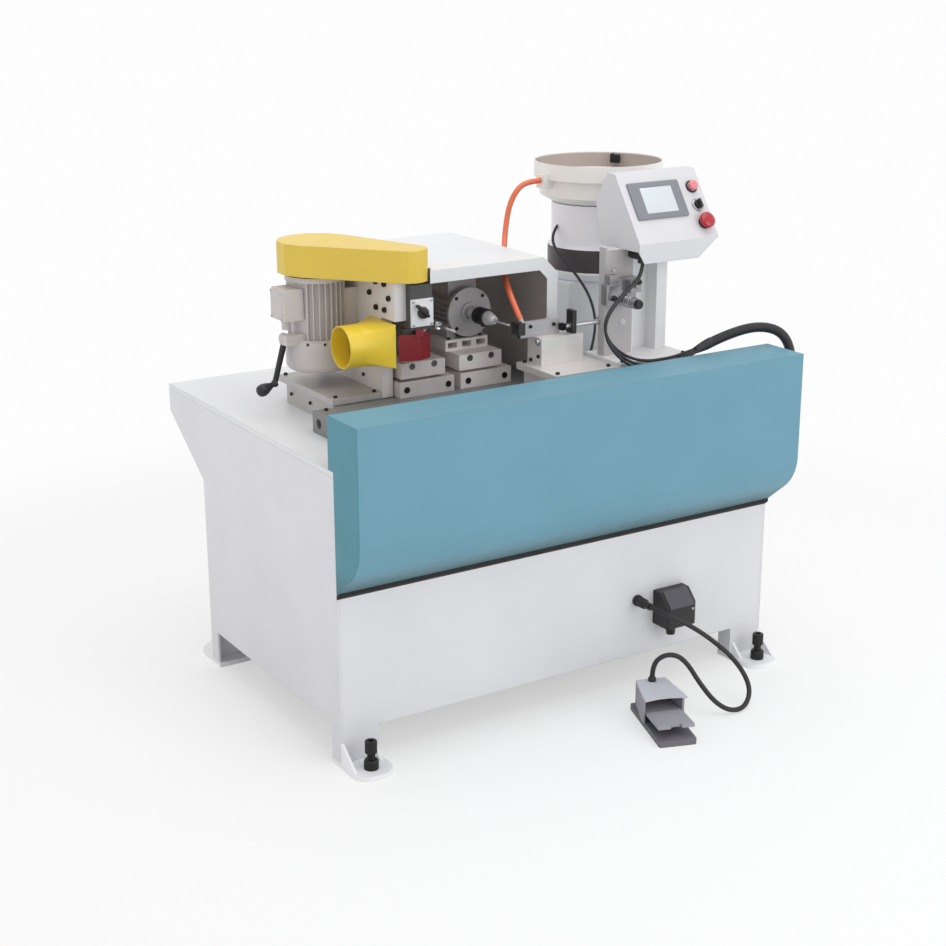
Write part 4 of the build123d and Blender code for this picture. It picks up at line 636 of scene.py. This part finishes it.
def make_rings_on_path():
    tree, given, out = new_grower("rings_on_path", Spacing="Float", Radius="Float", Bead="Float")
    walk = step(tree, "GeometryNodeCurveToPoints", {"mode": "LENGTH"}, Curve=given["Geometry"],
                Length=given["Spacing"])
    path, bead = [
        step(tree, "GeometryNodeCurvePrimitiveCircle", Resolution=corners, Radius=given[label]).outputs[0]
        for corners, label in ((24, "Radius"), (6, "Bead"))
    ]
    ring = step(tree, "GeometryNodeCurveToMesh", Curve=path, Profile_Curve=bead)
    each = repeated(tree, walk.outputs["Points"], ring.outputs[0], Rotation=walk.outputs["Rotation"])
    return close_tree(tree, given, out, each)


def make_ring_of_teeth():
    tree, given, out = new_grower(
        "ring_of_teeth", Count="Int", Radius="Float", Tooth="Vector", Place="Vector", Turn="Rotation")
    circle = step(tree, "GeometryNodeMeshCircle", Vertices=given["Count"], Radius=given["Radius"])
    tooth = step(tree, "GeometryNodeMeshCube", Size=given["Tooth"])
    outward = tree.nodes.new("GeometryNodeInputPosition")
    turn = step(tree, "FunctionNodeAlignRotationToVector", {"axis": "X", "pivot_axis": "Z"},
                Vector=outward.outputs[0])
    each = repeated(tree, circle.outputs[0], tooth.outputs[0], Rotation=turn.outputs["Rotation"])
    return close_tree(tree, given, out, each, given["Place"])


def make_row_of_ribs():
    tree, given, out = new_grower(
        "row_of_ribs", Rib="Object", Count="Int", Step="Vector", Start="Vector", Turn="Rotation")
    shape = step(tree, "GeometryNodeObjectInfo", Object=given["Rib"]).outputs["Geometry"]
    row = step(tree, "GeometryNodeMeshLine", Count=given["Count"], Offset=given["Step"])
    return close_tree(tree, given, out, repeated(tree, row.outputs[0], shape), given["Start"])


def make_winding_ledge():
    tree, given, out = new_grower(
        "winding_ledge", Rounds="Float", From="Float", To="Float", Rise="Float", Width="Float",
        Thickness="Float", Place="Vector", Turn="Rotation")
    winding = step(tree, "GeometryNodeCurveSpiral", Resolution=72, Rotations=given["Rounds"],
                   Start_Radius=given["From"], End_Radius=given["To"], Height=given["Rise"])
    level = step(tree, "GeometryNodeSetCurveNormal", {"mode": "Z_UP"}, Curve=winding.outputs[0])
    section = step(tree, "GeometryNodeCurvePrimitiveQuadrilateral", Width=given["Width"],
                   Height=given["Thickness"])
    ledge = step(tree, "GeometryNodeCurveToMesh", Curve=level.outputs[0], Profile_Curve=section.outputs[0],
                 Fill_Caps=True)
    return close_tree(tree, given, out, ledge.outputs[0], given["Place"])


fastener_spread = make_fastener_spread()
rings_on_path = make_rings_on_path()
ring_of_teeth = make_ring_of_teeth()
row_of_ribs = make_row_of_ribs()
winding_ledge = make_winding_ledge()


def grown(name, tree, material, body, slot, seed=None, replaces=(), sharp=32, **sizes):
    # the tree run once on its seed, and its result kept as a plain mesh
    holder = added(name, seed or bpy.data.meshes.new(name))
    run = holder.modifiers.new("run", "NODES")
    run.node_group = tree
    sizes["Finish"] = finishes[material]
    for item in tree.interface.items_tree:
        if item.item_type == "SOCKET" and item.in_out == "INPUT" and item.name in sizes:
            run[item.identifier] = sizes[item.name]
    graph = bpy.context.evaluated_depsgraph_get()
    mesh = bpy.data.meshes.new_from_object(holder.evaluated_get(graph), depsgraph=graph)
    bpy.data.objects.remove(holder)
    settle(name, mesh, material, body, replaces, sharp)


def fasten(name, screw, size, spots, material="dark_oxide", body="machine", slot="black_steel", replaces=()):
    # one kind of screw at every spot, which is a point and the way the screw faces there
    mesh = bpy.data.meshes.new("spots")
    mesh.from_pydata([at(*where) for where, way in spots], [], [])
    facing = mesh.attributes.new("facing", "FLOAT_VECTOR", "POINT")
    for entry, (where, way) in zip(facing.data, spots):
        entry.vector = way
    grown(name, fastener_spread, material, body, slot, mesh, replaces, Fastener=screw, Size=size)


# Ways to face, and the middles of what turns
up, down, left, front, behind = (0, 0, 1), (0, 0, -1), (-1, 0, 0), (0, -1, 0), (0, 1, 0)
mm = Matrix.Scale(0.001, 4)
motor_x, motor_y = 216, 478
tap_x, tap_z = 402, 927
drill_x, drill_z = 553, 923
bowl_x, bowl_y = 1014, 450
regulator_x, regulator_z = 846, 958
dial = (355, 221, 965)

# Screws and bolts that the fasteners repeat
cap_screw = pattern(
    "cap_screw",
    (turned, mm, [(5, 0), (5, 4.2), (4.7, 4.8), (4.2, 5), (2.7, 5), (2.5, 4.9, 6), (2.4, 2.4, 6)], 24),
)
sunk_screw = pattern(
    "sunk_screw",
    (turned, mm, [(7.8, -0.3), (7.8, 1.1), (7.3, 1.6), (4.3, 1.6), (4, 1.5, 6), (3.9, 0.4, 6)], 28),
)
hex_bolt = pattern(
    "hex_bolt",
    (turned, mm, [(6.6, 0), (6.6, 0.9), (5, 0.9, 6), (5, 4.2, 6), (4.3, 4.7), (0.4, 4.8)], 24),
)
pan_screw = pattern(
    "pan_screw",
    (turned, mm, [(5, 0), (4.9, 1.0), (4.2, 2.0), (2.8, 2.7), (1.7, 2.9), (1.5, 2.85, 6), (1.4, 1.6, 6)], 18),
)

# Fasteners on the parts that stay put
base_top, fixture_top, rail_top, lower_plate_z = 765, 822, 750, 728
column_face, end_plate_face = 296, 624
cap_spots = [((x, y, base_top), up) for x, y in ((179, 586), (179, 326), (282, 326))]
cap_spots += [((x, y, fixture_top), up) for x, y in ((611, 44), (756, 44), (611, 181))]
cap_spots += [((135, y, rail_top), up) for y in (88, 288)]
fasten("fixed_cap_screws", cap_screw, 1.0, cap_spots, replaces=("socket_screws",))
column_rows = ((290, 1026), (330, 1026), (270, 996), (360, 996), (290, 966), (330, 966))
fasten("column_cap_screws", cap_screw, 1.3, [((column_face, y, z), left) for y, z in column_rows])
plate_spots = [((end_plate_face, 141, 843), left), ((end_plate_face, 172, 830), left)]
plate_spots += [((612, 160, 913), front), ((678, 160, 911), front)]
plate_spots += [((x, 57, fixture_top), up) for x in (806, 990)]
plate_spots += [((172, y, lower_plate_z), left) for y in (350, 440, 540)]
plate_spots += [((x, 320, lower_plate_z), front) for x in (196, 300)]
plate_spots += [((column_face, y, z), left) for y, z in ((540, 790), (540, 990), (400, 790))]
fasten("plate_cap_screws", cap_screw, 0.86, plate_spots)
ring_count, ring_reach, ring_z = 12, 77.6, 874
ring_spots = []
for i in range(ring_count):
    angle = 2 * math.pi * (i + 0.5) / ring_count
    way = (math.cos(angle), math.sin(angle), 0)
    ring_spots.append(((motor_x + ring_reach * way[0], motor_y + ring_reach * way[1], ring_z), way))
fasten("motor_ring_bolts", hex_bolt, 0.52, ring_spots)
lid_spots = [((105.8, y, z), left) for y in (447, 498) for z in (937, 998)]
lid_spots += [((x, dial[1], z), front) for x in (331, 379) for z in (938, 992)]
lid_spots += [((955, -60, 201), front)]
fasten("lid_screws", pan_screw, 0.72, lid_spots, "bright_chrome", slot="bright_steel")

# Heavier screws sunk in the fronts of the slides, and the fasteners that travel with them
slide_face, base_z, table_z, riser_foot_z = 285, 768, 823.5, 860
fasten("slide_base_screws", sunk_screw, 1.0, [((x, slide_face, base_z), front) for x in (348, 462, 518, 622)])
for name, body, across in (("tap_table_screws", "tap_carriage", (363, 423)),
                           ("drill_front_screws", "drill_carriage", (523, 583))):
    fasten(name, sunk_screw, 1.0, [((x, slide_face, table_z), front) for x in across], "worn_oxide", body)
riser_spots = [((x, y, riser_foot_z), up) for x in (500, 590) for y in (345, 505)]
fasten("drill_table_screws", cap_screw, 0.94, riser_spots, body="drill_carriage")
for name, body, x, y, z, reach in (("tap_shield_bolts", "tap_carriage", tap_x, 335, tap_z, 38),
                                   ("drill_shield_bolts", "drill_carriage", drill_x, 334, drill_z, 52)):
    shield_spots = []
    for i in range(4):
        angle = math.pi * (0.25 + i / 2)
        shield_spots.append(((x + reach * math.cos(angle), y, z + reach * math.sin(angle)), front))
    fasten(name, hex_bolt, 0.7, shield_spots, body=body)

# Levelling bolts: knurled socket head, threaded neck and domed lock nut
thread_pitch, thread_turns = 1.5, 9
bolt_profile = [(17, 12), (17, 28), (16.3, 32), (14.2, 34.8), (11, 36), (9.4, 36)]
for i in range(thread_turns):
    bolt_profile += [(8.3, 36.6 + thread_pitch * i), (9.2, 37.35 + thread_pitch * i)]
bolt_profile += [(9.2, 50.1), (13, 50.2), (14, 51.4, 0.5), (14, 77.5, 0.5), (13.2, 79.6), (12.2, 80),
                 (7.4, 80), (7, 79.6, 6), (6.8, 66, 6)]
foot_bolt = pattern("foot_bolt", (turned, mm, bolt_profile, 48))
foot_spots = [((x, y, 0), up) for x in (48.5, 1181.5) for y in (-52, 758)]
fasten("levelling_feet", foot_bolt, 1.0, foot_spots, "foot_oxide", replaces=("levelling_bolts",))

# Corrugated conduit with its elbow box and cuff
conduit_way = laid_curve("conduit_way", [conduit_route], fineness=24)
grown("conduit_ribs", rings_on_path, "conduit_plastic", "machine", "conduit_plastic", conduit_way, sharp=60,
      Spacing=0.0056, Radius=0.0110, Bead=0.0015)
piece("conduit_elbow", "black_plastic", "machine", [
    (slab, seat((1230, 2, 600), up), (0, 0, 0), (64, 32, 40), 4, 3),
    (turned, seat((1278, 18, 638), up),
     [(13.6, 0), (16.4, 0.4), (16.4, 13, 6), (15.2, 14.2), (13.8, 14.4), (13.8, 24), (12.2, 25)], 36),
])
piece("conduit_cuff", "cable_rubber", "machine", [
    (turned, seat((1046, 35, 839.5), (-0.96, 0, -0.28)),
     [(12.2, -16), (12.8, -15), (12.8, -2), (11.6, 12), (9.6, 28), (8.4, 36), (6.4, 37)], 32),
])

# Clamp lever: hub, arm, collar and a pear-shaped knob turned outward
lever_x, lever_y, lever_z = 127, 474.5, 884
piece("lever_hub", "motor_coat", "lever", [
    (turned, seat((lever_x, 463, lever_z), behind),
     [(10.4, 0.4), (12, 1.8), (12, 22), (10.6, 23.5), (5, 23.5), (4.6, 22.2, 6), (4.5, 20, 6)], 36),
    (turned, seat((lever_x, lever_y, lever_z), (-0.25, 0, -0.97)),
     [(11.4, -9), (12.6, -7), (12.6, 9), (10, 14), (8.4, 16)], 36),
], ("clamp_lever",))
piece("lever_arm", "black_plastic", "lever", [
    (turned, seat((lever_x, lever_y, lever_z), (-0.28, 0, -0.96)),
     [(7.6, 8), (7.4, 24), (6.8, 80), (6.6, 104), (5, 109)], 28),
    (turned, seat((68, lever_y, 768), (-0.934, 0, -0.357)), [
        (5.4, -36), (8.6, -35), (9.2, -33), (9.2, -27.5), (7.4, -26), (6.6, -24), (7.6, -19), (10.6, -12.5),
        (13.5, -5), (15, 3), (14.3, 10), (11.5, 15), (6.6, 18.2), (1.4, 19.2),
    ], 40),
])

# Drill chuck with its jaws, quill and twisted bit
drill_axis = seat((drill_x, 0, drill_z), behind)
piece("chuck_sleeve", "dark_oxide", "drill_tool", [
    (turned, drill_axis, [
        (17.4, 251), (20.2, 251.6), (21, 253), (21, 254.5, 0.5), (21, 276, 0.5), (21, 277.4), (19.8, 278.2),
        (19.8, 280), (21, 280.8), (21, 292.6), (19.4, 295), (10, 295),
    ], 72),
], ("drill_chuck",))
jaw_turns = [Matrix.Rotation(2 * math.pi * i / 3 + 0.5, 4, "Z") for i in range(3)]
piece("chuck_nose", "satin_steel", "drill_tool", [
    (turned, drill_axis, [(3.4, 224), (8.4, 222.4), (9.3, 223.4), (13.6, 236), (17.4, 250), (17.4, 253)], 48),
    *[(slab, drill_axis @ turn, (2.9, -2.2, 219.6), (6.6, 2.2, 226), 0.5) for turn in jaw_turns],
])
piece("drill_quill", "turned_steel", "drill_tool", [
    (turned, drill_axis, [
        (9, 293), (14.6, 294.4), (15.3, 295.4), (15.3, 311), (14.5, 311.6), (14.5, 313), (15.3, 313.6),
        (15.3, 332.4), (9, 333.4), (9, 345),
    ], 40),
])
bit_tip, bit_radius, bit_end = 158, 2.8, 232


def bit_reach(angle, height):
    along = height - bit_tip
    point = min(1.0, 0.12 + 0.88 * along / 3.2)
    if along > 50:
        return bit_radius * point
    flute = max(0.0, math.cos(2 * (angle - along * 0.36)))
    return bit_radius * point * (1 - 0.46 * flute ** 1.5)


piece("twist_bit", "bright_chrome", "drill_tool",
      [(grooved, drill_axis, bit_tip, bit_end, 150, 28, bit_reach)], ("drill_bit",), sharp=50)

# Tap with its thread and flutes, collet nut and spindle
tap_axis = seat((tap_x, 0, tap_z), behind)
tap_tip, tap_end, tap_pitch = 156, 232, 1.25


def tap_reach(angle, height):
    along = height - tap_tip
    point = min(1.0, 0.62 + 0.38 * along / 6)
    if along > 34:
        return 3.6
    thread = abs(((along + tap_pitch * angle / (2 * math.pi)) / tap_pitch) % 1.0 - 0.5)
    flute = max(0.0, math.cos(3 * angle)) ** 3
    return (3.5 + 1.0 * thread) * point * (1 - 0.34 * flute)


piece("thread_tap", "bright_chrome", "tap_tool",
      [(grooved, tap_axis, tap_tip, tap_end, 240, 36, tap_reach)], ("tap_holder",), sharp=40)
piece("collet_spindle", "turned_steel", "tap_tool", [
    (turned, tap_axis, [
        (4.2, 229), (8.2, 228), (9, 228.8), (11.4, 233.5), (12, 234.5, 0.7), (12, 248, 0.7), (12, 249),
        (10.6, 252), (9.8, 252),
    ], 36),
    (turned, tap_axis, [
        (10, 251), (10, 312.8), (14.6, 313), (16, 314.6), (16, 332.8), (15, 334.4), (10, 334.5), (10, 345),
    ], 40),
])

# Operator panel: bezel, screen and buttons on the sloping face
lean_out, lean_up = 0.82954, 0.55845
button_u, start_v, selector_v, stop_v = 209, 134, 85, 38
bezel_middle, screen_middle = (96, 108), (99, 108)


def on_panel(u, v):
    return seat((852 + u, 60 + v * lean_up, 1097 + v * lean_out), (0, -lean_out, lean_up), (1, 0, 0))


panel_face = on_panel(0, 0)
start_place, selector_place, stop_place = [on_panel(button_u, v) for v in (start_v, selector_v, stop_v)]
piece("screen_bezel", "bezel_plastic", "machine", [
    (stacked, panel_face, [
        (bezel_middle, 150, 94, 3, -2), (bezel_middle, 152, 96, 4, 0.2), (bezel_middle, 152, 96, 4, 3.4),
        (bezel_middle, 150.4, 94.4, 3.4, 4.6), (bezel_middle, 147, 91, 3, 5), (screen_middle, 98, 71, 2, 5),
        (screen_middle, 94, 67, 1.5, 3.6),
    ]),
], ("hmi_panel",))
piece("screen_window", "screen_glass", "machine", [
    (stacked, panel_face, [
        (screen_middle, 93.6, 66.6, 1.5, 2), (screen_middle, 93.6, 66.6, 1.5, 3.9),
        (screen_middle, 92, 65, 1.2, 4.1),
    ]),
])
piece("start_cap", "lamp_plastic", "start", [
    (turned, start_place,
     [(8, -14), (8, 5.6), (11.4, 6), (12, 6.8), (12, 12.4), (11.2, 14.2), (8, 15), (1, 15.3)], 40),
], ("start_button",))
piece("stop_mushroom", "red_plastic", "stop", [
    (turned, stop_place, [
        (8, -14), (8, 9), (12, 9.2), (18.6, 10), (20, 11.8), (20, 17), (18.8, 20.6), (15, 23), (8, 24),
        (1, 24.2),
    ], 48),
], ("stop_button",))
piece("selector_handle", "black_plastic", "selector", [
    (turned, selector_place,
     [(8, -14), (8, 4.4), (9.8, 4.6), (10.4, 5.4), (10.4, 8.6), (9.6, 9.4), (1, 9.6)], 40),
    (slab, selector_place, (-3.4, -11, 8.6), (3.4, 11, 17), 1.4, 3),
], ("mode_selector",))
collar = [(16, 0), (16, 2.4), (14.8, 3.6), (13.2, 3.6), (12.6, 3), (12.6, 0)]
piece("button_collars", "black_plastic", "machine",
      [(hoop, start_place, collar, 44), (hoop, stop_place, collar, 44)])
piece("selector_collar", "bright_chrome", "machine", [
    (hoop, selector_place, [(16.4, 0), (16.4, 3.4), (14.8, 5), (12, 5), (11, 4), (11, 0)], 44),
])

# Changeover switch: dial ring and a barred knob
piece("dial_ring", "white_plastic", "machine", [
    (hoop, seat(dial, front), [(19, -0.4), (19, 1.2), (18, 2), (14.6, 2), (14.2, 1.2), (14.2, -0.4)], 44),
])
knob_place = seat(dial, front, (-0.7071, 0, 0.7071))
piece("switch_handle", "black_plastic", "switch", [
    (turned, knob_place,
     [(5, -3), (5, 0.6), (12.4, 0.8), (13, 1.8), (13, 8), (12, 9.6), (8, 10.4), (1, 10.6)], 44),
    (slab, knob_place, (-11, -3.6, 4), (29, 3.6, 21), 2.2, 3),
], ("switch_knob",))


# Regulator knob, air fittings and ports on the post
def on_regulator(y):
    return seat((regulator_x, y, regulator_z), front)


barrel_y = 113
piece("regulator_grip", "black_plastic", "regulator", [
    (turned, on_regulator(55), [
        (5, -10), (5, 0.6), (10, 0.7), (11, 1.6, 0.6), (11, 8.4, 0.6), (9.6, 10), (4.2, 10), (3.8, 8.6),
        (1, 8.4),
    ], 48),
], ("regulator_knob",))
band = [(13.2, 0), (14.2, 0.5), (14.2, 3), (13.2, 3.5)]
piece("regulator_barrel", "bright_chrome", "machine", [
    (turned, on_regulator(barrel_y), [
        (13.2, 0), (14.4, 0.4), (14.4, 10), (13.6, 11), (13.4, 11.4), (13.4, 56), (12.6, 57.9), (6, 57.9),
    ], 40),
    *[(turned, on_regulator(barrel_y - depth), band, 40) for depth in (18, 26, 34)],
])
piece("filter_port", "cast_aluminium", "machine", [
    (turned, seat((806, 98, 1034), up),
     [(6, -1), (7.4, 0), (7.4, 5, 6), (5.6, 6), (4.2, 6.4), (4.2, 9), (2.6, 9)], 24),
])
piece("air_fitting", "white_plastic", "machine", [
    (turned, seat((854, 125, 902), front),
     [(7, -0.5), (7, 2, 6), (4.6, 2.4), (4.6, 9), (3.4, 9.6), (2.2, 9.6), (2, 7)], 24),
])
plug = [(6.4, -0.4), (7.2, 0.4), (7.2, 6, 6), (5, 6.6), (5, 10.4), (3.6, 11), (3.2, 9), (0.8, 8.8)]
piece("air_plugs", "black_plastic", "machine",
      [(turned, seat(where, front), plug, 24) for where in ((790, 75, 975), (870, 87, 1004))])

# Feeder bowl: winding track, lining and sorting gate
grown("bowl_track", winding_ledge, "bowl_coat", "bowl", "bowl_paint", Rounds=1.7, From=0.121, To=0.137,
      Rise=0.056, Width=0.017, Thickness=0.0022, Place=tuple(at(bowl_x, bowl_y, 1150)), Turn=(0, 0, 2.6),
      sharp=40)
piece("bowl_lining", "lining_rubber", "bowl", [
    (hoop, seat((bowl_x, bowl_y, 0), up),
     [(160.5, 1208.6), (160.5, 1242.2), (159.9, 1243), (159.2, 1242.2), (159.2, 1208.6)], 96),
])
gate = seat((1133, 537, 1231), up, (-0.59, 0.81, 0))
piece("sorting_gate", "dark_oxide", "bowl", [
    (slab, gate, (-13, -5, -12), (13, 6, 10), 1.2),
    (slab, gate, (-4, -12, 2), (4, -3, 8), 0.9),
    (turned, gate @ Matrix.Translation((7, 0, 10)), [(4, 0), (4, 2.6), (3.4, 3.2), (0.6, 3.2)], 20),
])

# Gland nuts, gland ribs and the terminal box's lid
gland_x, gland_z = 826, 231
piece("gland_bodies", "black_plastic", "machine", [
    (turned, seat((gland_x, 0, gland_z), front), [
        (13.2, 0), (14, 0.6), (14, 7.2), (13.4, 8), (12, 8.2), (12, 31), (10.8, 34), (9.2, 35.4), (9, 46),
        (8.2, 52.6), (6.2, 54),
    ], 36),
    (turned, seat((911, -30, 160), down),
     [(12, -1), (13.2, 0), (13.2, 8, 6), (12, 9), (11.6, 9.4), (11.6, 22), (10, 25.6), (4, 26)], 36),
])
grown("gland_ribs", ring_of_teeth, "black_plastic", "machine", "black_plastic", Count=14, Radius=0.0119,
      Tooth=(0.0018, 0.0022, 0.021), Place=tuple(at(gland_x, -21, gland_z)), Turn=(math.pi / 2, 0, 0))
piece("terminal_lid", "motor_coat", "machine",
      [(slab, seat((0, 0, 0), up), (105.8, 443.5, 933.5), (109, 501.5, 1001.5), 1.2)])
piece("terminal_gland", "motor_coat", "machine", [
    (turned, seat((130, 472.5, 929.7), down),
     [(11, -1), (12, 0), (12, 7, 6), (10.6, 8), (10.4, 8.2), (10.4, 20), (8.6, 23.6), (4, 24)], 30),
])

# Pedal: ribbed treadle and gland nut, and the washered screw on the fixture's end plate
pedal_x, pedal_y, pedal_turn = 746, -215, math.radians(-19)
tread_slope = math.atan2(34 + 4 - 46, 70 + 94)


def on_pedal(x, y, z):
    return (pedal_x + x * math.cos(pedal_turn) - y * math.sin(pedal_turn),
            pedal_y + x * math.sin(pedal_turn) + y * math.cos(pedal_turn), z)


tread_rib = pattern("tread_rib", (slab, mm, (-38, -1.5, -0.8), (38, 1.5, 1.1), 0.7))
grown("treadle_ribs", row_of_ribs, "treadle_coat", "treadle", "pedal_paint", Rib=tread_rib, Count=9,
      Step=(0, 0.0085, 0), Start=tuple(at(*on_pedal(0, -78, 45.2))), Turn=(tread_slope, 0, pedal_turn))
piece("pedal_gland_nut", "black_plastic", "machine", [
    (turned, seat(on_pedal(0, 84, 80), up),
     [(9.4, -0.6), (9.8, 0), (9.8, 6.4), (9.2, 7.6), (7.8, 8.4), (7.4, 11), (6.2, 11.8)], 36),
])
piece("stop_washer", "bright_chrome", "machine", [
    (turned, seat((end_plate_face, 143, 878), left), [
        (9.4, -0.4), (10, 0.3), (10, 2.2), (9.2, 2.8), (6.4, 2.9), (6.2, 6.6), (5.4, 7.2), (3.2, 7.2),
        (3, 6.8, 6), (2.9, 4, 6),
    ], 36),
])

for shape in patterns:
    bpy.data.objects.remove(shape)


# Studio: pale floor that keeps the machine's shadow, white surroundings, soft light
def make_world():
    ambient, white = 0.76, (1, 1, 1, 1)
    world = bpy.data.worlds.new("studio")
    world.use_nodes = True
    tree = world.node_tree
    sky = tree.nodes["Background"]
    feed(tree, sky.inputs, Color=white, Strength=ambient)
    seen = step(tree, "ShaderNodeBackground", Color=white, Strength=1.0)
    rays = tree.nodes.new("ShaderNodeLightPath").outputs
    direct = math_node(tree, "MAXIMUM", rays["Is Camera Ray"], rays["Is Glossy Ray"])
    direct = math_node(tree, "MAXIMUM", direct, rays["Is Transmission Ray"])
    mix_shader(tree, direct, sky.outputs[0], seen.outputs[0], tree.nodes["World Output"])
    scene.world = world


def make_floor():
    floor_radius, fade_from, fade_to, veil = 70, 0.9, 2.6, 0.5
    floor = added("studio_floor", shaped("studio_floor", [(disc, floor_radius)]))
    material, tree, shader = new_material("studio_floor")
    feed(tree, shader.inputs, Base_Color=(0.93, 0.93, 0.93, 1), Roughness=0.9, Specular_IOR_Level=0.1)
    glow = step(tree, "ShaderNodeEmission", Color=(0.985, 0.985, 0.985, 1))
    away = step(tree, "ShaderNodeVectorMath", {"operation": "LENGTH"}, Vector=object_place(tree))
    fade = step(tree, "ShaderNodeMapRange", {"interpolation_type": "SMOOTHSTEP"}, Value=away.outputs["Value"],
                From_Min=fade_from, From_Max=fade_to)
    rays = tree.nodes.new("ShaderNodeLightPath").outputs
    veiled = math_node(tree, "MULTIPLY", rays["Is Camera Ray"], veil)
    factor = math_node(tree, "MAXIMUM", fade.outputs["Result"], veiled)
    mix_shader(tree, factor, shader.outputs[0], glow.outputs[0], tree.nodes["Material Output"])
    floor.data.materials.append(material)


def soft_light(name, where, target, size, watts):
    lamp = bpy.data.lights.new(name, "AREA")
    lamp.shape = "SQUARE"
    lamp.size = size
    lamp.energy = watts
    light = added(name, lamp)
    light.location = where
    light.rotation_euler = (Vector(target) - Vector(where)).to_track_quat("-Z", "Y").to_euler()


make_world()
make_floor()
soft_light("overhead", (0.2, -0.4, 4.2), (0, 0, 0.6), size=3.6, watts=52)
soft_light("front_fill", (1.6, -4.2, 2.2), (0, 0, 0.7), size=2.6, watts=36)
